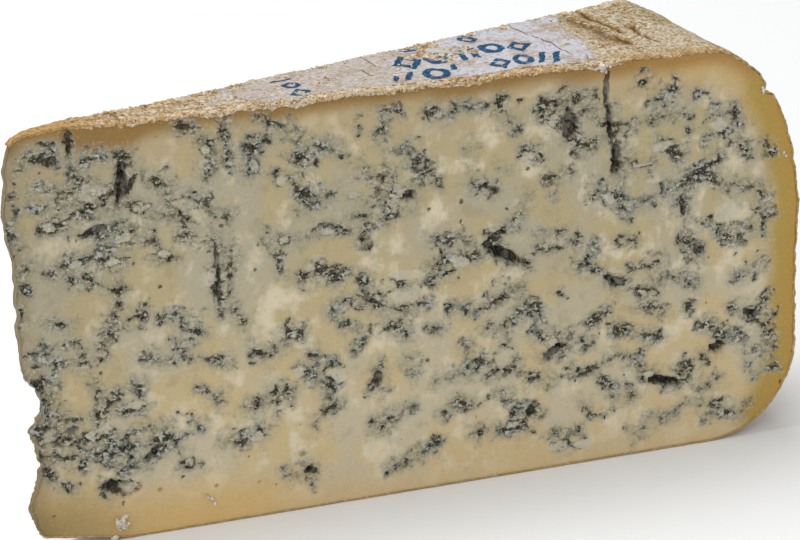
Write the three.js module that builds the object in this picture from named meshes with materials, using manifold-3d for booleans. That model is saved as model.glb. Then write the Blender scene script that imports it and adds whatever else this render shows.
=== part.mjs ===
// A wedge of blue cheese, cut from a low round wheel.
//
// The cheese is one solid: a creamy paste between two flat cut faces, closed by a dry rind on
// the top, the base and the rounded rim. Its thin end, at the wheel's axis, has crumbled to a
// ragged edge. The cut faces hold open hollows and the round holes left by the needles that
// let air in. The label is the thin paper disc pressed on the wheel's top, cut through with it.
//
// Millimetres. +X runs along the middle of the wedge from its thin end to the rim, +Z is up,
// the near cut face is on the -Y side, and the origin is the middle of the base. A place on a
// cut face is given as its distance out from the wheel's axis and its height up from the base.

import * as THREE from "three";
import { ImprovedNoise } from "three/addons/math/ImprovedNoise.js";
import { mergeVertices } from "three/addons/utils/BufferGeometryUtils.js";
import Module from "manifold-3d";

const { degToRad, lerp, seededRandom, smoothstep } = THREE.MathUtils;

// The wheel and the cut.
const WHEEL_RADIUS = 170;
const WHEEL_HEIGHT = 85;
const WEDGE_ANGLE = degToRad(15);
const HALF_ANGLE = WEDGE_ANGLE / 2;
const TIP_OUT = 5; // where the thin end stops

// The rim is upright between two rounded shoulders, the upper one longer.
const UPPER_SHOULDER = { across: 22, high: 36 };
const LOWER_SHOULDER = { across: 20, high: 20 };

// The base lies flat beyond the first distance out, and curls up a little before it. It is dished
// by a hair, as the underside of a drying wheel is, and bears on its middle at the thin end and on
// its two corners under the rim.
const FLAT_BASE = { from: 27, to: WHEEL_RADIUS - LOWER_SHOULDER.across, dish: 0.1 };

// The crumbled edge of the thin end, from the base up: [out, up].
const TORN_EDGE = [
  [9, 3],
  [6.6, 9],
  [8.9, 16],
  [8.6, 22],
  [7.8, 25.5],
  [10.4, 28],
  [8.6, 34],
  [6.4, 40],
  [6.3, 55],
  [4.8, 68],
  [5.9, 78],
  [8.2, 84.4],
];

// Unevenness of the two kinds of surface: depth, and the distance between bumps.
const RIND_RELIEF = { depth: 0.75, spacing: 8 };
const PASTE_RELIEF = { depth: 0.45, spacing: 7 };

// The rind sinks where the near needle hole goes through it.
const RIND_DIP = { out: 127.5, depth: 1.1, reach: 6 };

// Open hollows of the near cut face. reach is half their length and half their height.
const NEAR_HOLLOWS = [
  { out: 28, up: 75, reach: [1.7, 5], tilt: -12, depth: 2.4 },
  { out: 14.5, up: 79.3, reach: [1.7, 1.3], tilt: 0, depth: 1 },
  { out: 22.5, up: 64.5, reach: [4, 0.9], tilt: 18, depth: 1.1 },
  { out: 41, up: 82.6, reach: [2, 0.8], tilt: -10, depth: 1.4 },
  { out: 24.8, up: 10.8, reach: [3.6, 1.5], tilt: -6, depth: 2.2 },
  { out: 38.4, up: 13.6, reach: [1.4, 1.3], tilt: 0, depth: 1.4 },
  { out: 32, up: 17, reach: [2.6, 0.8], tilt: 42, depth: 1.4 },
  { out: 64, up: 8, reach: [1.4, 1], tilt: 25, depth: 1.5 },
  { out: 78.6, up: 25.6, reach: [1.2, 2], tilt: 8, depth: 1.6 },
  { out: 85.6, up: 63, reach: [1.7, 1.1], tilt: 0, depth: 1.8 },
  { out: 84.6, up: 43.6, reach: [1.6, 0.7], tilt: 0, depth: 1.4 },
  { out: 101, up: 63, reach: [1.8, 0.8], tilt: -14, depth: 1.6 },
  { out: 106, up: 47.6, reach: [5.4, 1.3], tilt: -31, depth: 3.2 },
  { out: 111.2, up: 13, reach: [1.5, 1.9], tilt: -20, depth: 2.2 },
  { out: 116.4, up: 25.6, reach: [2.6, 1], tilt: 30, depth: 2 },
  { out: 119.6, up: 73, reach: [2.6, 3.8], tilt: 14, depth: 3.6 },
  { out: 129.6, up: 38.6, reach: [2.6, 1.2], tilt: -22, depth: 2 },
  { out: 140.4, up: 15.2, reach: [4.2, 1.2], tilt: -18, depth: 3 },
  { out: 152.8, up: 20.6, reach: [2.2, 1.2], tilt: 8, depth: 3.2 },
  { out: 160, up: 27.2, reach: [2.4, 0.8], tilt: -8, depth: 1.6 },
];

// Open hollows of the far cut face: how many, the draw's seed and their least and greatest size.
const FAR_HOLLOWS = { count: 16, seed: 5, reach: [1.3, 4], depth: [1.2, 3.2] };

// Needle holes cut along their length: where they start and end up the face, and their radius.
const NEEDLE_HOLES = [
  { out: 17.8, from: 77, to: 90, radius: 0.8, side: -1 },
  { out: 47.4, from: 43, to: 64, radius: 1.1, side: -1 },
  { out: 128.8, from: 61, to: 90, radius: 1.2, side: -1 },
  { out: 66, from: 38, to: 90, radius: 1.1, side: 1 },
  { out: 140, from: 52, to: 90, radius: 1.2, side: 1 },
];

// The paper disc: how far out it reaches, where wear has taken its middle, its thickness, its
// clearance over the rind and the cut faces, and how ragged its worn ends are.
const LABEL = { from: 40, to: 127, thick: 0.5, clear: 0.4, inset: 0.5, ragged: 2.5 };

// Faces along, up and across the wedge, and along and across the label.
const CHEESE_STEPS = [48, 25, 6];
const LABEL_STEPS = [28, 1, 6];

const GOLDEN_SECTION = (Math.sqrt(5) - 1) / 2;
const EIGHTH_TURN = Math.PI / 4;

const noise = new ImprovedNoise();

// Smooth bumps of about the given height at a point in space.
function bumps(point, { depth, spacing }, shift = 0) {
  const at = point.clone().divideScalar(spacing);
  return depth * noise.noise(at.x + shift, at.y, at.z);
}

// The axis of the wheel stands a little outside the part, so that the part's middle is at x = 0.
const AXIS_X = -(WHEEL_RADIUS + TIP_OUT) / 2;

// A point of the wheel, from its distance out, its turn about the axis and its height.
function wheelPoint(out, turn, up) {
  return new THREE.Vector3(AXIS_X + out * Math.cos(turn), out * Math.sin(turn), up);
}

// The four sides of a cut face, each with x as the distance out and y as the height up.
const upperMiddle = [WHEEL_RADIUS - UPPER_SHOULDER.across, WHEEL_HEIGHT - UPPER_SHOULDER.high];
const lowerMiddle = [WHEEL_RADIUS - LOWER_SHOULDER.across, LOWER_SHOULDER.high];
const upperArc = [...upperMiddle, UPPER_SHOULDER.across, UPPER_SHOULDER.high];
const lowerArc = [...lowerMiddle, LOWER_SHOULDER.across, LOWER_SHOULDER.high];

const tipSide = new THREE.SplineCurve(TORN_EDGE.map(([out, up]) => new THREE.Vector2(out, up)));
const baseSide = new THREE.Path()
  .moveTo(...TORN_EDGE[0])
  .lineTo(FLAT_BASE.from, 0)
  .lineTo(lowerMiddle[0], 0)
  .absellipse(...lowerArc, -2 * EIGHTH_TURN, -EIGHTH_TURN);
const topSide = new THREE.Path()
  .moveTo(...TORN_EDGE.at(-1))
  .lineTo(upperMiddle[0], WHEEL_HEIGHT)
  .absellipse(...upperArc, 2 * EIGHTH_TURN, EIGHTH_TURN, true);
const rimSide = new THREE.Path()
  .absellipse(...lowerArc, -EIGHTH_TURN, 0)
  .lineTo(WHEEL_RADIUS, upperMiddle[1])
  .absellipse(...upperArc, 0, EIGHTH_TURN);

// A place on a cut face from two shares: 0 to 1 along it and 0 to 1 up it (a Coons patch).
function facePlace(along, rise) {
  const [base, top] = [baseSide.getPoint(along), topSide.getPoint(along)];
  const [tip, rim] = [tipSide.getPointAt(rise), rimSide.getPoint(rise)];
  const corners = baseSide.getPoint(0).lerp(baseSide.getPoint(1), along)
    .lerp(topSide.getPoint(0).lerp(topSide.getPoint(1), along), rise);
  return base.lerp(top, rise).add(tip.lerp(rim, along)).sub(corners);
}

// The way out of the outline at a place: up on the top, outwards on the rim, a blend between.
function outlineNormal({ x: out, y: up }) {
  const steep = (share) => Math.sign(share) * Math.abs(share) ** 9;
  const across = (2 * out - WHEEL_RADIUS - TIP_OUT) / (WHEEL_RADIUS - TIP_OUT);
  return new THREE.Vector2(steep(across), steep((2 * up) / WHEEL_HEIGHT - 1)).normalize();
}

// How far the rind stands out of the plain outline at a place.
function rindHeight(out, turn, up) {
  const near = smoothstep(-turn, 0, HALF_ANGLE);
  const dip = RIND_DIP.depth * near * Math.exp(-(((out - RIND_DIP.out) / RIND_DIP.reach) ** 2));
  return bumps(wheelPoint(out, turn, up), RIND_RELIEF) - (up > WHEEL_HEIGHT / 2 ? dip : 0);
}

// How far the flat of the base stands off what it rests on.
function baseDish(out, across) {
  const toRim = (out - FLAT_BASE.from) / (FLAT_BASE.to - FLAT_BASE.from);
  const toSide = Math.abs(2 * across - 1);
  return FLAT_BASE.dish * (lerp(toSide, 1 - toSide, toRim) + 2 * toRim * (1 - toRim));
}

// A point of the cheese's surface. The cut faces are uneven, less so where the wedge is thin, and
// the rind's unevenness fades out towards the base.
function cheesePoint(along, rise, across) {
  const place = facePlace(along, rise);
  const sink = (side) => {
    const rough = bumps(wheelPoint(place.x, side * HALF_ANGLE, place.y), PASTE_RELIEF, 40);
    return (PASTE_RELIEF.depth / 2 + rough / 2) * smoothstep(place.x, 0, WHEEL_RADIUS / 3);
  };
  const nearTurn = -HALF_ANGLE + sink(-1) / place.x;
  const farTurn = HALF_ANGLE - sink(1) / place.x;
  const turn = lerp(nearTurn, farTurn, across);
  if (rise === 0 && place.y === 0) return wheelPoint(place.x, turn, baseDish(place.x, across));
  if ([along, rise].some((share) => share === 0 || share === 1)) {
    const fade = smoothstep(place.y, 0, LOWER_SHOULDER.high / 2);
    place.addScaledVector(outlineNormal(place), fade * rindHeight(place.x, turn, place.y));
  }
  return wheelPoint(place.x, turn, place.y);
}

// A point of the paper: it follows the rind, a little above it.
function labelPoint(along, rise, across) {
  const tear = (shift) => LABEL.ragged * noise.noise(across * 5 + shift, shift, 0);
  const out = lerp(LABEL.from + tear(3), LABEL.to + tear(8) / 3, along);
  const turn = lerp(-1, 1, across) * (HALF_ANGLE - LABEL.inset / out);
  const lift = rindHeight(out, turn, WHEEL_HEIGHT) + LABEL.clear + rise * LABEL.thick;
  return wheelPoint(out, turn, WHEEL_HEIGHT + lift);
}

// A closed surface from point(along, rise, across), where each share runs from 0 to 1: the six
// sides of a block of steps.
function blockGeometry(point, [alongSteps, riseSteps, acrossSteps]) {
  const corners = [];
  const side = (place, columns, rows, turnedRound) => {
    for (let i = 0; i < columns; i++) {
      for (let j = 0; j < rows; j++) {
        const [a, b] = [place(i / columns, j / rows), place((i + 1) / columns, j / rows)];
        const [c, d] = [place((i + 1) / columns, (j + 1) / rows), place(i / columns, (j + 1) / rows)];
        corners.push(...(turnedRound ? [a, c, b, a, d, c] : [a, b, c, a, c, d]));
      }
    }
  };
  side((s, t) => point(s, t, 0), alongSteps, riseSteps, false);
  side((s, t) => point(s, t, 1), alongSteps, riseSteps, true);
  side((s, t) => point(s, 0, t), alongSteps, acrossSteps, true);
  side((s, t) => point(s, 1, t), alongSteps, acrossSteps, false);
  side((s, t) => point(0, s, t), riseSteps, acrossSteps, false);
  side((s, t) => point(1, s, t), riseSteps, acrossSteps, true);
  return new THREE.BufferGeometry().setFromPoints(corners);
}

// Turns a tool modelled about a place on a cut face into the wheel's frame. In the tool's own
// frame x runs outwards, y through the face and z up. side is -1 for the near face.
function onFace(geometry, { out, up, tilt = 0, side }) {
  return geometry
    .rotateY(degToRad(-tilt))
    .translate(out, 0, up)
    .rotateZ(side * HALF_ANGLE)
    .translate(AXIS_X, 0, 0);
}

// A hollow between curds: an uneven egg shape, half sunk in the face.
function hollowGeometry(hollow) {
  const egg = new THREE.SphereGeometry(1, 9, 6);
  const at = egg.attributes.position;
  for (let i = 0; i < at.count; i++) {
    const corner = new THREE.Vector3().fromBufferAttribute(at, i);
    const swell = 1 + 0.4 * noise.noise(corner.x * 1.7 + hollow.out, corner.y * 1.7, corner.z * 1.7);
    at.setXYZ(i, ...corner.multiplyScalar(swell));
  }
  return onFace(egg.scale(hollow.reach[0], hollow.depth, hollow.reach[1]), hollow);
}

function needleHoleGeometry(hole) {
  const length = hole.to - hole.from;
  const rod = new THREE.CapsuleGeometry(hole.radius, length, 2, 6).rotateX(Math.PI / 2);
  return onFace(rod, { ...hole, up: hole.from + length / 2 });
}

// The far face's hollows, each with its own drawn size and tilt. They are spread evenly: one in
// each column of the face, at heights a golden section of the face apart.
function farHollows({ count, seed, reach, depth }) {
  const margin = 14;
  seededRandom(seed);
  const draw = (low, high) => lerp(low, high, seededRandom());
  return Array.from({ length: count }, (_, i) => ({
    out: lerp(2 * margin, WHEEL_RADIUS - margin, (i + draw(0, 0.8)) / count),
    up: lerp(margin, WHEEL_HEIGHT - margin, (i * GOLDEN_SECTION + draw(0, 0.1)) % 1),
    reach: [draw(...reach), draw(reach[0] / 1.5, reach[1] / 2)],
    tilt: draw(-35, 35),
    depth: draw(...depth),
    side: 1,
  }));
}

// manifold-3d cuts the hollows out of the cheese.
const wasm = await Module();
wasm.setup();

function solidFrom(geometry) {
  geometry.deleteAttribute("normal");
  geometry.deleteAttribute("uv");
  const merged = mergeVertices(geometry, 1e-4);
  return new wasm.Manifold(
    new wasm.Mesh({
      numProp: 3,
      vertProperties: merged.attributes.position.array,
      triVerts: new Uint32Array(merged.index.array),
    }),
  );
}

function geometryFrom(solid) {
  const { vertProperties, triVerts } = solid.getMesh();
  const geometry = new THREE.BufferGeometry();
  geometry.setAttribute("position", new THREE.BufferAttribute(vertProperties, 3));
  geometry.setIndex(new THREE.BufferAttribute(triVerts, 1));
  geometry.computeVertexNormals();
  return geometry;
}

function cheeseGeometry() {
  const hollows = [
    ...NEAR_HOLLOWS.map((hollow) => hollowGeometry({ ...hollow, side: -1 })),
    ...farHollows(FAR_HOLLOWS).map(hollowGeometry),
    ...NEEDLE_HOLES.map(needleHoleGeometry),
  ];
  let cheese = solidFrom(blockGeometry(cheesePoint, CHEESE_STEPS));
  for (const hollow of hollows) cheese = cheese.subtract(solidFrom(hollow));
  return geometryFrom(cheese);
}

const paste = new THREE.MeshStandardMaterial({ color: 0xc9b78c, roughness: 0.5, metalness: 0 });
const paper = new THREE.MeshStandardMaterial({ color: 0xd3d0d6, roughness: 0.85, metalness: 0 });

const cheese = new THREE.Mesh(cheeseGeometry(), paste);
cheese.name = "cheese";

const label = new THREE.Mesh(mergeVertices(blockGeometry(labelPoint, LABEL_STEPS), 1e-4), paper);
label.name = "label";

const wedge = new THREE.Group();
wedge.name = "blue_cheese_wedge";
wedge.add(cheese, label);

export default wedge;
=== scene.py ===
import math
from functools import reduce

import bpy
import numpy as np
from mathutils import Matrix, Vector


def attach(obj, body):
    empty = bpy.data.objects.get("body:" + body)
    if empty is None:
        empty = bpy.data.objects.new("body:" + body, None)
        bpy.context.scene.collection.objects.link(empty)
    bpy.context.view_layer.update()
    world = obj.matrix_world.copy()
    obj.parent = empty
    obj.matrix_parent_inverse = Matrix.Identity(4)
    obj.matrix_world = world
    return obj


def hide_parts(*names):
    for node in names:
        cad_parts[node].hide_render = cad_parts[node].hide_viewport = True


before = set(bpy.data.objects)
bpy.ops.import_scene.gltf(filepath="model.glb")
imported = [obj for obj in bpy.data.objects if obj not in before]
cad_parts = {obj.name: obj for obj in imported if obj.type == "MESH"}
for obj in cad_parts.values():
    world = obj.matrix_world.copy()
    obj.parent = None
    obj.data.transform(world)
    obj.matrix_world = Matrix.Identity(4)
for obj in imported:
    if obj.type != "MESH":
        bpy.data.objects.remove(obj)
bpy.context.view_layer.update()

# The room: a pale floor under soft light, and a camera that looks down on the near cut face from
# the thin end's side. The lamps are large panels overhead, so shadows stay faint.
MM = 0.001
EYE = Vector((-289.2, -568.3, 280.6)) * MM
CAMERA_TURN, CAMERA_DIP, CAMERA_ROLL = math.radians(27.04), math.radians(20.41), math.radians(1.18)

camera = bpy.data.objects.new("camera", bpy.data.cameras.new("camera"))
bpy.context.scene.collection.objects.link(camera)
camera.data.sensor_width = 36
camera.data.lens = 153
camera.matrix_world = (
    Matrix.Translation(EYE)
    @ Matrix.Rotation(-CAMERA_TURN, 4, "Z")
    @ Matrix.Rotation(math.radians(90) - CAMERA_DIP, 4, "X")
    @ Matrix.Rotation(-CAMERA_ROLL, 4, "Z")
)
bpy.context.scene.camera = camera
bpy.context.scene.view_settings.view_transform = "Standard"

room = bpy.data.worlds.new("room")
room.use_nodes = True
sky = room.node_tree.nodes["Background"].inputs
sky["Color"].default_value = (0.97, 0.985, 1, 1)
sky["Strength"].default_value = 0.48
bpy.context.scene.world = room


def panel_lamp(name, place, size, watts):
    """A square panel lamp that faces the middle of the wedge."""
    lamp = bpy.data.objects.new(name, bpy.data.lights.new(name, "AREA"))
    bpy.context.scene.collection.objects.link(lamp)
    lamp.data.size = size
    lamp.data.energy = watts
    lamp.location = place
    lamp.rotation_euler = (Vector((0, 0, 0.04)) - lamp.location).to_track_quat("-Z", "Y").to_euler()


panel_lamp("overhead", Vector((-0.25, 0.35, 1.3)), 1.0, 14)
panel_lamp("front", Vector((-1.1, -1.2, 0.9)), 1.2, 11.5)

floor = bpy.data.objects.new("floor", bpy.data.meshes.new("floor"))
floor.data.from_pydata([(-6, -6, 0), (6, -6, 0), (6, 6, 0), (-6, 6, 0)], [], [(0, 1, 2, 3)])
bpy.context.scene.collection.objects.link(floor)
floor_paint = bpy.data.materials.new("floor")
floor_paint.use_nodes = True
paint = floor_paint.node_tree.nodes["Principled BSDF"].inputs
paint["Base Color"].default_value = (0.86, 0.86, 0.86, 1)
paint["Roughness"].default_value = 0.9
floor.data.materials.append(floor_paint)

# The paste: the creamy inside of the wheel, bounded by the two cut faces and the crumbled thin
# end. Mould grows in the gaps between the curds and down the needle holes, so the cut faces show
# it as broken spiky runs, sunk a little, with grey bloom round them.
# Sizes are in millimetres. A place on a cut face is how far out from the wheel's axis, and how high.
WHEEL_RADIUS, WHEEL_HEIGHT, HALF_ANGLE = 170, 85, math.radians(7.5)
# How far out the thin end starts, and where the wheel's axis is: the origin is halfway along.
TIP_OUT = 5
AXIS_X = -(WHEEL_RADIUS + TIP_OUT) / 2
# The rounded shoulders of the rim: how far each reaches in, and how high it is.
UPPER_SHOULDER, LOWER_SHOULDER = (22, 36), (20, 20)
# The torn thin end, from the base to the top.
TORN_EDGE = [
    (9, 3), (7.9, 4.8), (7.3, 7), (6.6, 9), (7.2, 10.8), (7.8, 12.4), (8, 14), (8.9, 15.8), (9.2, 17.4),
    (8.8, 20), (8.7, 22.2), (8, 23.8), (7.3, 25), (8.5, 26.2), (8.9, 27.4), (10.4, 28.6), (10.1, 31),
    (9.4, 33.2), (8.3, 34.8), (6.9, 36.2), (6.6, 38), (6.4, 41), (6.5, 44), (6, 46.4), (6, 47.4),
    (6.8, 48.8), (6.2, 51), (6.3, 55), (6.4, 58), (5.9, 61.4), (5.2, 64.8), (4.9, 67.6), (4.4, 69.4),
    (4.8, 71.6), (5.3, 73.4), (5.6, 75.6), (5.3, 78), (5.8, 80.4), (6.1, 82), (6.6, 83.5),
]
# How deep the paste starts: under the rind's skin at the cut faces, under its crust between them,
# and how much lower it is at the top.
PASTE_UNDER_RIND, PASTE_UNDER_CRUST, PASTE_UNDER_TOP = 0.3, 1.1, 0.15
# The block's steps: outwards, from the near face to the far one, and upwards.
PASTE_STEPS = (300, 6, 152)
# How high the rind's broad swells and its wrinkles are, which the paste's edges follow, and how far
# up from the base they fade in.
RIND_HEIGHTS = {"Swell height": 1.5 * MM, "Wrinkle height": 0.7 * MM}
FLAT_FOOT = 10
# The rind's furrows, parallel to the rim: place out, half width, depth, and the shares of the way
# from the near edge to the far one where each starts and ends.
FURROWS = [
    (140.6, 1, 0.9, 0.5, 0.98), (143.4, 0.9, 0.8, 0.24, 0.6), (137.6, 1.1, 0.9, 0.26, 0.46),
    (135.6, 2.8, 0.5, 0.3, 0.9), (131.6, 0.5, 0.4, 0.5, 0.9), (29.5, 0.6, 0.5, 0.1, 0.8),
]
# A broad swell of the rind at the far cut: place out, place along the arc, radius and height.
FAR_SWELL = (158, 17, 10, 0.95)
# A bite out of the upper shoulder at the near cut: place out, height, depth and half width, and how
# far in and down the paste draws back for each millimetre of it.
NOTCH, NOTCH_WAY = (162.9, 74.8, 1.1, 1.1), (0.85, 0.5)

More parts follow.
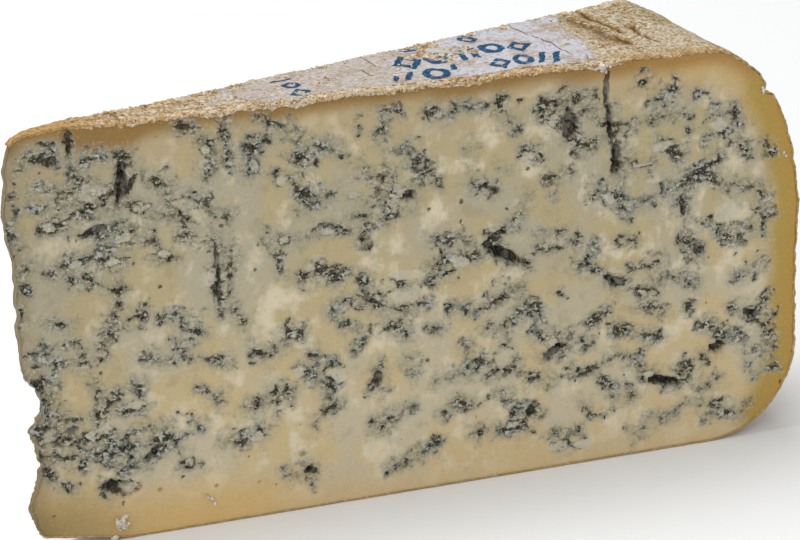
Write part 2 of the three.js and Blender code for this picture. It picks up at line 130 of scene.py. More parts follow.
# Mould runs of the near face: how far the mould spreads, then the places that the run joins.
NEAR_RUNS = [
    # Thin end, upper part.
    (1.3, 5.6, 67.5, 6.2, 62), (0.9, 7, 71.5, 7.4, 70), (1, 6.8, 50.5, 7.4, 48),
    (1.6, 10, 79.5, 14, 80.5, 16.5, 79), (0.5, 18.2, 84.5, 18.3, 80.5), (1.3, 18.6, 79.5, 18.9, 76),
    (1.6, 20.5, 78, 24, 79, 27.5, 78.3), (2.2, 28.5, 78, 28.6, 73, 27, 68.5),
    (2.2, 11.5, 74.5, 16.5, 73, 20.5, 75), (2, 11, 70.5, 15.5, 70.2), (2.4, 20, 71.5, 26, 71.5),
    (1.8, 19, 68.5, 23, 69, 27, 69.5), (1.4, 12.5, 67, 16.3, 66.5), (1.2, 30.5, 75.8, 32.4, 74.2),
    (1.8, 33.8, 73, 37.2, 71.6), (1.6, 29, 70, 32, 68, 34, 66.3),
    (1.8, 35.5, 66.3, 39.8, 65, 40.4, 60.8), (2.2, 23.5, 63.2, 28, 64.2, 27, 61),
    (1.8, 23, 60.3, 29, 61, 34, 61.2), (1.2, 6.6, 68, 6.8, 63.5),
    (1.4, 7.4, 58.6, 11, 58, 16.5, 55.7, 21.5, 54.5), (1.4, 16.3, 58.6, 21.3, 59.2),
    (1.5, 23.2, 58.4, 27, 57.3), (1.1, 34.2, 57.9, 38, 57.1), (1, 7.6, 55, 9, 54),
    (1.1, 23.8, 52.9, 27, 51.4), (0.9, 26.4, 49.3, 25.6, 47),
    # Thin end, lower part.
    (1.3, 7.6, 36, 9.6, 33.6, 10.6, 29.6), (0.9, 8.2, 25.4, 9.2, 23.8), (1.1, 8.8, 21.6, 9.8, 19.4),
    (1.2, 11.5, 47.3, 16.6, 46.4, 16.2, 44.6), (1.4, 22, 41, 25.2, 44.8, 31.5, 46.2),
    (1.4, 34.3, 45.6, 38.8, 45, 39, 43), (1, 10.8, 42.9, 16.6, 41.8),
    (1.9, 10.5, 39.5, 13.5, 38.8, 12, 34), (1.8, 10.5, 36.5, 10.9, 29.5),
    (1.3, 16.4, 38.4, 20, 37.9, 23, 38.5), (1.2, 20.4, 34.8, 21.7, 32.2), (1.3, 24.2, 31, 29.7, 31.8),
    (1.4, 38.6, 42.4, 43, 40.2, 38.5, 39.3), (1.3, 32.6, 36.8, 36.8, 36.2),
    (1.1, 40.4, 35.6, 44.5, 34.5, 48, 34.7), (0.9, 41.3, 29.7, 46.4, 25.7),
    (1.9, 12.6, 27.9, 16.8, 26.2, 14.3, 23.2, 18.5, 22), (1.5, 19.8, 27.2, 25.5, 27.4, 30.2, 25.8),
    (1.7, 20.3, 23.4, 24, 20.8, 29.2, 22.2), (1.4, 10, 17.6, 10.8, 15.4),
    (1.6, 14.2, 19.2, 18.5, 19, 16.6, 15.8), (1.4, 20, 19.2, 22.5, 17.6, 30.5, 19.6, 34.6, 20.2),
    (1.6, 27, 14.9, 30.2, 15.6, 33.6, 17.6), (1.3, 14.4, 13.6, 16.2, 12.6), (1.1, 32, 22.8, 34.8, 22.2),
    (1, 36.9, 19, 37, 16.6), (1.3, 38, 14.2, 39.4, 12.6), (0.7, 41, 21.6, 41.3, 20.6),
    (0.8, 21.4, 11.4, 22.8, 11), (0.4, 21.6, 9.4, 22.4, 9),
    # Middle, upper part.
    (1.4, 39.8, 83.2, 42.8, 82.2), (1.2, 43, 81, 45.8, 79.6), (1.8, 45.6, 78, 45.2, 73),
    (1.4, 49, 82, 48.8, 75.6), (1.7, 52.6, 77.4, 54.6, 75.4, 53.2, 72), (1.2, 55.3, 82.4, 60.2, 80.4),
    (1.3, 53.2, 79.2, 58, 77.7), (1.7, 61.5, 78, 64.5, 75.8, 69.8, 75), (1.8, 61.5, 74.4, 65.6, 73),
    (0.9, 71.3, 72.8, 72.4, 71.9), (1.5, 58.2, 70.2, 62.4, 69.4),
    (1.4, 62.6, 67.4, 66.7, 65.4, 70.2, 65.2), (1.1, 65, 63.7, 67, 63.2), (0.6, 62.6, 62.4, 62.9, 61.8),
    (0.8, 75.4, 79.4, 76, 77.8), (1.1, 42.2, 69.6, 45.4, 66, 49.2, 63.8), (0.9, 41.6, 63.4, 40.2, 60.4),
    (1.4, 46.2, 60, 46.8, 53, 46.4, 45), (1.1, 49.2, 58, 48.6, 50, 48.9, 44),
    (1.5, 80.5, 79.2, 81, 74.8), (1.4, 81.6, 72.6, 85.5, 73), (0.8, 82.6, 80.5, 83.6, 80),
    (1.4, 75.4, 69.6, 78, 68.2, 82, 67.6, 83, 66), (1.7, 82, 64.2, 86, 62.8, 88.4, 64.8),
    (1.3, 85, 69.4, 89.4, 69, 89, 66.5), (1.5, 74, 63.8, 77.4, 62.6),
    (1.1, 55.4, 60.6, 57.8, 57.3, 60.4, 56.6), (1.2, 60.4, 56.6, 66.7, 57.1, 69.6, 58.5),
    (1.2, 69.6, 58.5, 73, 57.2), (1.5, 73.8, 60.7, 76.8, 59.6, 76, 55),
    (1, 77.6, 58.2, 82.4, 59.6, 85.6, 60),
    # Middle, lower part.
    (1, 58.8, 55.8, 59.6, 51), (1.3, 66.6, 51.2, 69, 47.8, 72.4, 48.9, 76.8, 45.8),
    (0.9, 62, 49.6, 64, 49), (1.4, 69.3, 41, 72.8, 43.4, 76, 41.8, 80.2, 39.9),
    (1.1, 75.2, 44.4, 77.4, 42.8), (1.1, 49.8, 42.9, 51.2, 41.8), (1.2, 60.2, 38.6, 62.6, 37.3),
    (1.4, 72, 38, 74.6, 35.6, 73.2, 32.8), (1.2, 53.3, 35.2, 56.7, 33.4, 59.2, 35.8),
    (1.2, 64.4, 32.7, 67, 32), (0.9, 69.2, 31.2, 69.8, 30.2),
    (1.5, 50.6, 24, 53.2, 23.4, 55.7, 25.2, 60, 26.2), (1.8, 63.2, 29.7, 65.6, 27.8, 67.8, 25.4),
    (1.2, 69, 21, 65.4, 17.6), (1.5, 47.4, 17, 50, 16.2, 55.4, 18.9), (1.1, 59, 8.2, 60.4, 8),
    (1.4, 63, 8.8, 64.8, 7.4), (1.1, 82.4, 5.8, 86.7, 7.2, 90.6, 9.2), (1.3, 76.8, 15.8, 79, 14.8),
    (1.3, 81, 16.4, 85.4, 18), (1.9, 78.2, 27, 78.6, 24.4), (1.2, 80.8, 36.8, 83.6, 35.4, 84.6, 34.2),
    (1.3, 84.2, 28, 86.6, 25.7), (1, 83.4, 44.3, 86, 43.3), (0.9, 80.2, 39.9, 89.4, 40.1),
    # Rim side, upper part.
    (1.3, 90.6, 79, 94, 78.4, 97.2, 80.2, 99.4, 78.8), (1.1, 104.8, 80.6, 105.4, 77.6),
    (1.4, 105.4, 77.6, 107.8, 73.9), (0.8, 98.2, 71.4, 99.2, 70.8), (1, 90.3, 64.6, 91.6, 64.4),
    (1.5, 99.3, 63.3, 102.4, 62.9, 103.6, 61.6), (0.9, 104.4, 66.2, 106, 65.8),
    (1.2, 110, 69, 113.4, 67.7), (1.9, 113.6, 76.8, 117, 77.4, 120.4, 79.2, 124.2, 78),
    (2.4, 118.4, 74.6, 120.8, 71.4), (1.6, 122.6, 75.6, 126, 73),
    (1.3, 119.8, 70, 122.3, 67.6, 126.2, 69.3), (1.2, 114.4, 62.1, 118.6, 63), (0.9, 116, 59, 117, 58),
    (1.5, 128.2, 75.5, 128.8, 72, 130.1, 61.5), (1.6, 126.4, 72.4, 133, 71.2),
    (1.3, 131.4, 64.6, 134, 62.4, 138.2, 62.2), (1.7, 139.2, 66.9, 143.6, 63.2),
    (1.9, 126.4, 58.2, 129.6, 56.6, 131.8, 53), (1.4, 134.8, 80.2, 138, 79),
    (1.4, 138.2, 75.4, 141, 76.8, 142.6, 78.6), (1.4, 137.6, 72.3, 141.8, 72.4, 145.2, 71.6),
    (0.8, 146.5, 76.2, 147, 75.7), (1.3, 150.4, 70.5, 155.6, 71.8, 156.2, 68),
    (1.4, 150.2, 67.3, 154.2, 66.6), (0.8, 144.8, 69, 145.2, 68.6), (1.1, 151, 63.6, 152.4, 62),
    (1.2, 156.6, 64, 158.4, 62.6), (1.2, 163, 63.6, 164.6, 61.4),
    (1.4, 110.3, 59.6, 109.6, 56.6, 106.8, 53.4, 101.8, 50.4), (1.5, 101.6, 50, 106, 47.8, 110.6, 45.2),
    (1.2, 91, 52.6, 97.5, 51.6),
    # Rim side, middle.
    (1.1, 113, 51, 119, 51.1), (1.6, 90, 47.4, 93.4, 48, 99.3, 48.2), (1.1, 90.4, 44.6, 95, 45.8),
    (1.2, 112.6, 47.8, 116.4, 47.2), (1.2, 119.3, 48.4, 124.8, 47.1),
    (1.4, 120.4, 43.3, 124, 42.3, 127, 40.8), (1, 131, 47.5, 133.4, 46.8),
    (1.2, 134.3, 54.3, 137.6, 55.2), (2, 141.5, 56.6, 146, 58, 149.8, 60.3),
    (1.4, 149.8, 60.3, 151.8, 56.6, 157.4, 55, 161.8, 53.2, 163, 48.8, 162.4, 45),
    (1, 144.4, 53.4, 144.8, 50.8), (1.6, 144.8, 45.2, 148.6, 42),
    (1.4, 150.3, 48, 152.8, 45.5, 156, 44.4, 159.4, 45.7), (1.1, 133.2, 41, 138.4, 41, 139.8, 42.4),
    (1.7, 127.6, 39.2, 131.4, 37.6), (1.5, 133.8, 36, 138.4, 35.4, 139.8, 38),
    (1.2, 124.3, 30.9, 128, 33), (1.4, 133.8, 31.8, 137.3, 32.3, 139.8, 30.8),
    (1.4, 144.8, 36.8, 147.6, 35.3), (0.9, 145.2, 31.4, 146, 30.6), (1.1, 157, 35.8, 162, 38.2),
    (1.3, 155.8, 29.1, 160.5, 26.7, 163, 29.2), (2, 150.4, 26, 152.9, 22.8, 156.4, 22),
    (1.6, 162.8, 25.6, 164.4, 21, 162.6, 17.6), (1.7, 113.2, 29.3, 119.2, 29),
    (1.5, 114.3, 24.4, 118.6, 26.2), (1.2, 122, 26.8, 123, 25.8),
    (1.5, 130.4, 28.4, 134, 26.6, 137.6, 25.4),
    # Rim side, lower part.
    (1.1, 120.4, 20.4, 125, 20, 130.6, 22.3), (1.5, 130.6, 22.3, 134, 21.6, 136.2, 18.2),
    (1.7, 136.2, 18.2, 140.6, 15.2, 143.4, 14.6), (1.2, 143.4, 15.6, 147.4, 19, 151.8, 20.2),
    (1.2, 111.5, 21.2, 115.2, 18.8), (1.7, 109.8, 13.6, 112.2, 12.6),
    (1.3, 99.8, 10.3, 103.2, 10, 109.4, 9.6), (1.2, 127, 17.4, 130.6, 13.4, 133.2, 13.2),
    (1.1, 123, 13.4, 124, 10.8), (1, 134.8, 4.9, 138.4, 6.6, 143, 7.9), (0.9, 145.8, 9, 152, 8.2),
    (1, 150.4, 6.1, 157.4, 5.4, 160, 6.9), (1.3, 116.4, 7.4, 118.4, 5.4, 121.8, 7.6),
    (1.3, 92.2, 15.9, 95, 17.9, 98, 16.6), (1.1, 90.6, 22.8, 95.6, 23.4),
    (1.2, 97.2, 29.6, 98.2, 25.6, 97.2, 23), (1, 98.2, 26, 102, 25), (0.9, 105, 28.6, 106, 27.8),
    (1.4, 103, 22.7, 108, 23.3), (1.1, 104.2, 18.2, 106, 17.6), (1, 90, 34.4, 92, 34),
    (1.4, 95.3, 37.9, 99.8, 36.6), (1.3, 101.8, 33.4, 105, 32.8, 108, 34.6),
    (1.4, 102.6, 37.7, 106.2, 39.6, 109.8, 40.1), (1.2, 110.3, 36.8, 112.3, 35.5, 113.5, 33),
    (0.7, 117, 38, 117.6, 37.6), (1.3, 158.2, 20.4, 159.6, 15.2), (1.3, 161.5, 13.2, 165.2, 14.6),
    (1.2, 149.4, 12.6, 152.6, 13.8),
]
# Open hollows of the near face: place, half length and half height, tilt in degrees and depth.
NEAR_HOLLOWS = [
    (28.2, 73.6, 1.1, 5, -8, 2.6), (29.9, 72.4, 0.8, 3, -28, 1.4), (14.5, 79.3, 1.7, 1.3, 0, 1.2),
    (22.5, 64.5, 4, 0.9, 18, 1.1), (41, 82.6, 2, 0.8, -10, 1.4), (25.2, 10.8, 3.9, 2.1, -8, 2.4),
    (39.1, 12.9, 0.9, 0.7, 0, 1.2), (32, 17, 2.6, 0.8, 42, 1.4), (63.6, 8.2, 1.4, 0.7, 30, 1.2),
    (78.6, 25.6, 1.2, 2, 8, 1.5), (85.6, 63, 1.7, 1.1, 0, 1.8), (84.6, 43.6, 1.6, 0.7, 0, 1.2),
    (101, 63, 1.8, 0.8, -14, 1.6), (106, 47.6, 5.4, 1.2, -31, 3.2), (111.2, 13, 1.3, 1.7, -20, 1.8),
    (116.4, 25.6, 2.6, 1, 30, 1.8), (119.8, 72.8, 2.3, 3.4, 14, 2.4), (129.6, 38.6, 2.6, 1.2, -22, 1.8),
    (140.4, 15.2, 4.2, 1.1, -18, 2.6), (152.8, 20.8, 2.4, 1.3, 8, 3), (160, 27.2, 2.4, 0.8, -8, 1.5),
    (16, 24.5, 1.5, 0.8, 20, 1.3), (18.3, 82.3, 0.55, 2.8, 0, 1.2), (127.7, 79.5, 0.75, 4.6, -4, 0.9),
    (128.6, 71.5, 0.8, 5, 5, 2.2), (129.9, 64.6, 1.3, 4, -6, 2.8), (46.4, 52, 0.7, 8, 2, 0.9),
    (77, 42.4, 3, 0.6, -30, 0.9), (148, 42.6, 1.8, 0.9, 25, 1.2), (144.6, 52, 0.8, 1.6, 0, 1.2),
    (104, 52, 3, 0.7, 30, 0.9),
]
# Pale firm lumps of curd on the near face: place, half length and half height, and tilt.
NEAR_LUMPS = [
    (22.2, 71.8, 4.2, 2.2, 10), (31.7, 67.8, 2.2, 1.1, -10), (25.5, 57.8, 1.6, 1, 0),
    (18.3, 58.3, 1.5, 0.9, 10), (27.8, 62.2, 2.4, 0.9, 12), (36.1, 57.8, 1.6, 0.9, -5),
    (45, 77.5, 1.2, 1.2, 0), (54.4, 73.3, 1.1, 1.5, 10), (60, 69.4, 1.6, 1.2, -10),
    (68.9, 57.8, 2, 0.8, 5), (60, 57.2, 1.6, 0.9, 0), (83.9, 63.6, 1.9, 1, 0),
    (85.6, 46.4, 5.2, 1.3, -4), (85, 42.4, 4.4, 2.3, 8), (44.4, 51.7, 2.4, 2.4, 0),
    (21.1, 23.3, 3, 1.5, 15), (28.9, 27.8, 2, 1.1, 0), (38.9, 13.9, 1.1, 1, 0),
    (53.3, 17.2, 1.6, 1.1, 20), (26.5, 10.6, 2.1, 1.4, -8), (70, 27.8, 2.8, 1.6, -20),
    (62.2, 29.4, 2.2, 1.4, 30), (91.7, 78.9, 1.6, 0.9, -15), (116.5, 74.4, 1.3, 1.8, 0),
    (111.1, 67.8, 2.2, 0.9, -12), (100.6, 63.4, 1.8, 0.8, 10), (139.4, 66.1, 2.6, 1.4, 0),
    (135.6, 62.6, 2.6, 0.6, 4), (107.8, 58.3, 1.5, 0.9, 40), (96.1, 47.8, 2.4, 1.4, -20),
    (128.3, 56.7, 1.4, 1.8, 0), (151.7, 68.9, 2.4, 1.9, 0), (129.4, 41, 1.9, 0.8, -20),
    (117.2, 4.6, 2.3, 1.3, 10), (122.8, 4, 2.4, 1.2, -10), (107.2, 10.6, 2, 1, 0),
    (137.2, 17.2, 1.6, 0.9, -15), (116, 27.4, 1.4, 0.9, 30), (106.1, 26.7, 1.4, 1, 0),
    (153.9, 50.2, 3.4, 3, 0), (114.8, 70.8, 1.5, 0.8, 20), (13.6, 66.4, 1.8, 1, 0),
    (47.4, 40.8, 1.7, 0.9, 20), (74.6, 64.6, 1.5, 0.9, 0),
]
# Small olive stains of the near face: place and radius.
NEAR_STAINS = [
    (31.6, 79.6, 0.8), (35.3, 81.4, 0.6), (29.4, 82.4, 0.5), (75.2, 79.6, 0.9), (143, 83, 0.6),
    (32.8, 9.2, 0.9), (44.3, 8.1, 0.8), (53.1, 7.3, 0.7), (62.3, 11.8, 1), (60.9, 7.9, 0.9),
    (39.4, 61.5, 0.7),
]
FAR_RUNS, FAR_HOLLOWS, FAR_LUMPS = 150, 26, 45
# The far face's needle holes: place out, and how far down each goes.
FAR_NEEDLES = ((66, 38), (140, 52))


def arc(middle, reach, start, end):
    """Points along part of an ellipse, from one turn to another in degrees."""
    turns = np.radians(np.linspace(start, end, 24))
    return [(middle[0] + reach[0] * math.cos(t), middle[1] + reach[1] * math.sin(t)) for t in turns]


def along(line, shares):
    """The places at these shares, 0 to 1, of a line's length."""
    line = np.array(line, float)
    length = np.concatenate([[0], np.cumsum(np.hypot(*np.diff(line, axis=0).T))])
    return np.stack([np.interp(np.asarray(shares) * length[-1], length, axis) for axis in line.T], -1)


# The wheel's outline in the plane of a cut face, apart from the torn end.
UPPER_MIDDLE = (WHEEL_RADIUS - UPPER_SHOULDER[0], WHEEL_HEIGHT - UPPER_SHOULDER[1])
LOWER_MIDDLE = (WHEEL_RADIUS - LOWER_SHOULDER[0], LOWER_SHOULDER[1])
TOP_LINE = [
    TORN_EDGE[-1], (7.8, 84.6), (9.8, 85.2), (13, 85.5), (24, 85.5), (36, WHEEL_HEIGHT),
    *arc(UPPER_MIDDLE, UPPER_SHOULDER, 90, 45),
]
RIM_LINE = [*arc(LOWER_MIDDLE, LOWER_SHOULDER, -45, 0), *arc(UPPER_MIDDLE, UPPER_SHOULDER, 0, 45)]
BASE_LINE = [TORN_EDGE[0], (27, 0), *arc(LOWER_MIDDLE, LOWER_SHOULDER, -90, -45)]
OUTLINE = np.array([*TOP_LINE, *RIM_LINE[::-1][1:], *BASE_LINE[::-1][1:]])


def beside(places, start, end):
    """How far along a straight step each place lies, 0 to 1, and how far off it."""
    step = end - start
    share = np.clip((places - start) @ step / max(step @ step, 1e-9), 0, 1)
    return share, np.hypot(*(places - start - share[:, None] * step).T)


def distances(places, line):
    """The distance of each place from a line, given by the numbers of its points."""
    points = np.reshape(line, (-1, 2)).astype(float)
    return np.min([beside(places, *ends)[1] for ends in zip(points[:-1], points[1:])], axis=0)


def on_outline(places):
    """The nearest point of the wheel's outline: how far off it is, how far round, and its way out."""
    off, rounds, ways = np.full(len(places), np.inf), np.zeros(len(places)), np.zeros((len(places), 2))
    length = 0
    for start, end in zip(OUTLINE[:-1], OUTLINE[1:]):
        along_x, along_y = end - start
        long = math.hypot(along_x, along_y)
        share, here = beside(places, start, end)
        nearer = here < off
        off = np.where(nearer, here, off)
        rounds = np.where(nearer, length + share * long, rounds)
        ways[nearer] = (-along_y / long, along_x / long)
        length += long
    return off, rounds + TORN_EDGE[-1][0], ways


def runs_at(places, runs):
    """How near a run is, 0 at its edge and 1 for each 2 mm inside it, and how far off its line is."""
    found, off = np.full(len(places), -2.5), np.full(len(places), 3.0)
    for reach, *line in runs:
        here = distances(places, line)
        found, off = np.maximum(found, (reach - here) / 2), np.minimum(off, here)
    return found, off


def spots_at(places, spots):
    """1 in the middle of a spot and 0 at its edge, and the last number of the nearest spot."""
    found, last = np.full(len(places), -1.0), np.zeros(len(places))
    for spot in spots:
        out, up, long, high, tilt = spot[:5]
        cos, sin = math.cos(math.radians(tilt)), math.sin(math.radians(tilt))
        across, over = (places - (out, up)).T
        here = 1 - np.hypot((across * cos + over * sin) / long, (over * cos - across * sin) / high)
        last = np.where(here > found, spot[-1], last)
        found = np.maximum(found, here)
    return found, last


def far_runs(draw):
    """Mould runs for the far face: its needle holes, and short bent lines all over it."""
    runs = [(1.5, out, WHEEL_HEIGHT, out + 1, down) for out, down in FAR_NEEDLES]
    for _ in range(FAR_RUNS):
        middle = np.array((draw.uniform(9, 163), draw.uniform(8, 79)))
        lean, long = draw.normal(0, 0.6), draw.uniform(1.5, 5.5)
        bend = draw.normal(0, 1.4, 2)
        half = np.array((math.cos(lean), math.sin(lean))) * long / 2
        runs.append((draw.uniform(1, 1.9), *(middle - half), *(middle + bend), *(middle + half)))
    return runs


def far_hollows(draw):
    """Open hollows for the far face, some of them down its needle holes."""
    hollows = [(out + 0.5, (WHEEL_HEIGHT + down) / 2, 1, (WHEEL_HEIGHT - down) / 2, 2, 1.6)
               for out, down in FAR_NEEDLES]
    for _ in range(FAR_HOLLOWS):
        long = draw.uniform(1.2, 3.6)
        hollows.append((draw.uniform(20, 158), draw.uniform(12, 74), long, long * draw.uniform(0.35, 0.8),
                        draw.uniform(-40, 40), long * draw.uniform(0.6, 1)))
    return hollows


def far_lumps(draw):
    """Pale lumps of curd for the far face."""
    sizes = [(draw.uniform(1, 2.6), draw.uniform(0.5, 0.9)) for _ in range(FAR_LUMPS)]
    return [(*draw.uniform((14, 10), (160, 76)), long, long * flat, draw.uniform(-30, 30))
            for long, flat in sizes]


def inset(line, by):
    """A line moved sideways to its right-hand side."""
    line = np.array(line, float)
    step = np.gradient(line, axis=0)
    step /= np.hypot(*step.T)[:, None]
    return line + by * np.stack([step[:, 1], -step[:, 0]], -1)


def turned(out, turn, up):
    """A place or a way, given by how far out and up it goes, turned round the wheel's axis."""
    return np.stack(np.broadcast_arrays(out * np.cos(turn), out * np.sin(turn), up), -1)


def wheel_point(out, turn, up):
    """The place of a point of the wheel in the frame, in metres."""
    return (turned(out, turn, up) + (AXIS_X, 0, 0)) * MM


def on_top(up):
    """0 up to 78 mm high, on the rim, and 1 from 84, on the wheel's top."""
    return np.clip((up - 78) / 6, 0, 1)


def block(name, steps, place):
    """A closed surface: the skin of a block of steps each way, put in place by its shares."""
    quads = []
    for axis in range(3):
        u, v = (axis + 1) % 3, (axis + 2) % 3
        a, b = (grid.ravel() for grid in np.meshgrid(np.arange(steps[u]), np.arange(steps[v])))
        for end in (0, steps[axis]):
            corners = np.full((len(a), 4, 3), end)
            for i, (right, over) in enumerate([(0, 0), (1, 0), (1, 1), (0, 1)]):
                corners[:, i, u], corners[:, i, v] = a + right, b + over
            quads.append(corners if end else corners[:, ::-1])
    corners, faces = np.unique(np.concatenate(quads).reshape(-1, 3), axis=0, return_inverse=True)
    shares = corners / steps
    mesh = bpy.data.meshes.new(name)
    mesh.from_pydata(place(shares).tolist(), [], faces.reshape(-1, 4).tolist())
    mesh.shade_smooth()
    return mesh, shares


def keep(mesh, **marks):
    """Keeps a number, or a place, for each corner of a mesh under each name."""
    for name, values in marks.items():
        single = values.size == len(mesh.vertices)
        kind, key = ("FLOAT", "value") if single else ("FLOAT_VECTOR", "vector")
        mesh.attributes.new(name, kind, "POINT").data.foreach_set(key, values.astype(np.float32).ravel())


def face_places(shares):
    """The places on a cut face of shares along and up it: a patch between its four sides."""
    u, v = shares[:, :1], shares[:, 2:]
    base_line, top_line = inset(BASE_LINE, -PASTE_UNDER_RIND), inset(TOP_LINE, PASTE_UNDER_RIND)
    base, top = along(base_line, u[:, 0]), along(top_line, u[:, 0])
    tip, rim = along(TORN_EDGE, v[:, 0]), along(inset(RIM_LINE, -PASTE_UNDER_RIND), v[:, 0])
    flat = (1 - v) * ((1 - u) * base_line[0] + u * base_line[-1])
    flat += v * ((1 - u) * top_line[0] + u * top_line[-1])
    return base * (1 - v) + top * v + tip * (1 - u) + rim * u - flat


def notch_depth(out, up, near):
    """How deep the bite is at a place of the outline, where near is 1 at the near cut."""
    notch_out, notch_up, deep, half = NOTCH
    off = np.hypot(out - notch_out, up - notch_up) / half
    return deep * np.exp(-(off**4)) * np.clip(near * 3 - 2, 0, 1)


def paste_places(shares):
    """The block's places: drawn in under the rind between the cuts, and a little lower at the top."""
    flat = face_places(shares)
    covered = (shares[:, 1] > 0) & (shares[:, 1] < 1) & (shares[:, 0] > 0)
    out, up = (flat - PASTE_UNDER_CRUST * covered[:, None] * on_outline(flat)[2]).T
    bite = notch_depth(out, up, 1 - 2 * shares[:, 1])
    up = up - PASTE_UNDER_TOP * on_top(up)
    turn = (2 * shares[:, 1] - 1) * HALF_ANGLE
    return wheel_point(out - bite * NOTCH_WAY[0], turn, up - bite * NOTCH_WAY[1])


def paste_block():
    """The closed block of paste, with what its relief and its finish go by."""
    mesh, shares = block("paste", PASTE_STEPS, paste_places)
    flat, side = face_places(shares), shares[:, 1]
    draw = np.random.default_rng(7)

    def faced(near, far):
        """What the near face has and what the far one has, blended across the block."""
        return [this * (1 - side) + that * side for this, that in zip(near, far)]

    mould, vein = faced(runs_at(flat, NEAR_RUNS), runs_at(flat, far_runs(draw)))
    hollow, deep = faced(spots_at(flat, NEAR_HOLLOWS), spots_at(flat, far_hollows(draw)))
    lump, _ = faced(spots_at(flat, NEAR_LUMPS), spots_at(flat, far_lumps(draw)))
    stain, _ = spots_at(flat, [(out, up, size, size * 0.7, 20) for out, up, size in NEAR_STAINS])
    inward = np.zeros((len(flat), 3))
    inward[side == 0] = (math.sin(HALF_ANGLE), math.cos(HALF_ANGLE), 0)
    inward[side == 1] = (math.sin(HALF_ANGLE), -math.cos(HALF_ANGLE), 0)
    inward[shares[:, 0] == 0] = (1, 0, 0)
    off, rounds, ways_out = on_outline(flat)
    turn = (2 * side - 1) * HALF_ANGLE
    keep(
        mesh, mould=mould, vein=vein, hollow=hollow, deep=deep, lump=lump, stain=stain * (1 - side),
        flat_place=paste_places(shares),
        inward=inward,
        # How far a place may sink before the two cut faces come near each other.
        room=np.minimum(flat[:, 0] * HALF_ANGLE * 0.8, 4),
        from_torn=distances(flat, TORN_EDGE),
        from_rind=np.stack([distances(flat, line) for line in (TOP_LINE, RIM_LINE, BASE_LINE)], -1),
        rolled=np.stack([rounds, flat[:, 0] * turn, 0 * off], -1) * MM,
        outward=turned(ways_out[:, 0], turn, ways_out[:, 1]),
        relief=np.clip(flat[:, 1] / FLAT_FOOT, 0, 1) * np.clip(1 - off / 8, 0, 1),
    )
    return mesh


class Field:
    """What a node gives: a number, a place or a colour. Fields add and multiply as numbers do."""

    def __init__(self, tree, socket):
        self.tree, self.socket = tree, socket

    def calc(self, operation, *others):
        kind = "ShaderNodeMath" if self.socket.type == "VALUE" else "ShaderNodeVectorMath"
        return add(self.tree, kind, self, *others, operation=operation)

    def __add__(self, other):
        return self.calc("ADD", other)

    def __sub__(self, other):
        return self.calc("SUBTRACT", other)

    def __mul__(self, other):
        return self.calc("MULTIPLY", other)

    def most(self, other):
        return self.calc("MAXIMUM", other)

    def least(self, other):
        return self.calc("MINIMUM", other)

    def off(self, middle=0):
        """How far a number is from a middle."""
        return (self - middle).calc("ABSOLUTE")

    def above(self, none, full):
        """0 at none and past it, 1 at full and past it, and smooth between; either may be greater."""
        return add(self.tree, "ShaderNodeMapRange", self, none, full, interpolation_type="SMOOTHSTEP")

    def split(self):
        """The three numbers of a place or a colour."""
        parts = self.tree.nodes.new("ShaderNodeSeparateXYZ")
        plug(self.tree, parts.inputs[0], self)
        return [Field(self.tree, socket) for socket in parts.outputs]


def plug(tree, socket, value):
    """Joins a field to a socket, or sets the socket to a value."""
    if isinstance(value, Field):
        tree.links.new(value.socket, socket)
    elif socket.type == "VECTOR" and np.isscalar(value):
        socket.default_value = (value, value, value)
    elif socket.type == "RGBA":
        socket.default_value = (*value, 1)
    else:
        socket.default_value = value


def add(tree, kind, *values, gives=None, **settings):
    """Adds a node with these settings, fills its open sockets in order, and gives one output."""
    made = tree.nodes.new(kind)
    for name in [name for name in settings if name in made.bl_rna.properties]:
        setattr(made, name, settings.pop(name))
    for socket, value in zip([s for s in made.inputs if s.enabled], values):
        plug(tree, socket, value)
    for name, value in settings.items():
        plug(tree, made.inputs[name], value)
    return Field(tree, made.outputs[gives] if gives else next(s for s in made.outputs if s.enabled))


def in_mm(place):
    """The three numbers of a place, in millimetres."""
    return (place * 1000).split()


def noise(place, spacing, detail=1, rough=0.5, gives="Fac"):
    """Soft blotches about 0.5, with this spacing in millimetres."""
    return add(place.tree, "ShaderNodeTexNoise", place, 1 / (spacing * MM), detail, rough, gives=gives)


def cells(place, spacing, **settings):
    """Irregular grains side by side, with this spacing in millimetres."""
    return add(place.tree, "ShaderNodeTexVoronoi", place, 1 / (spacing * MM), **settings)


def kept(tree, name, place=False):
    """The number, or the place, that keep() kept, in a geometry tree or in a material's."""
    if tree.type == "GEOMETRY":
        kind = "FLOAT_VECTOR" if place else "FLOAT"
        return add(tree, "GeometryNodeInputNamedAttribute", name, data_type=kind)
    return add(tree, "ShaderNodeAttribute", attribute_name=name, gives="Vector" if place else "Fac")


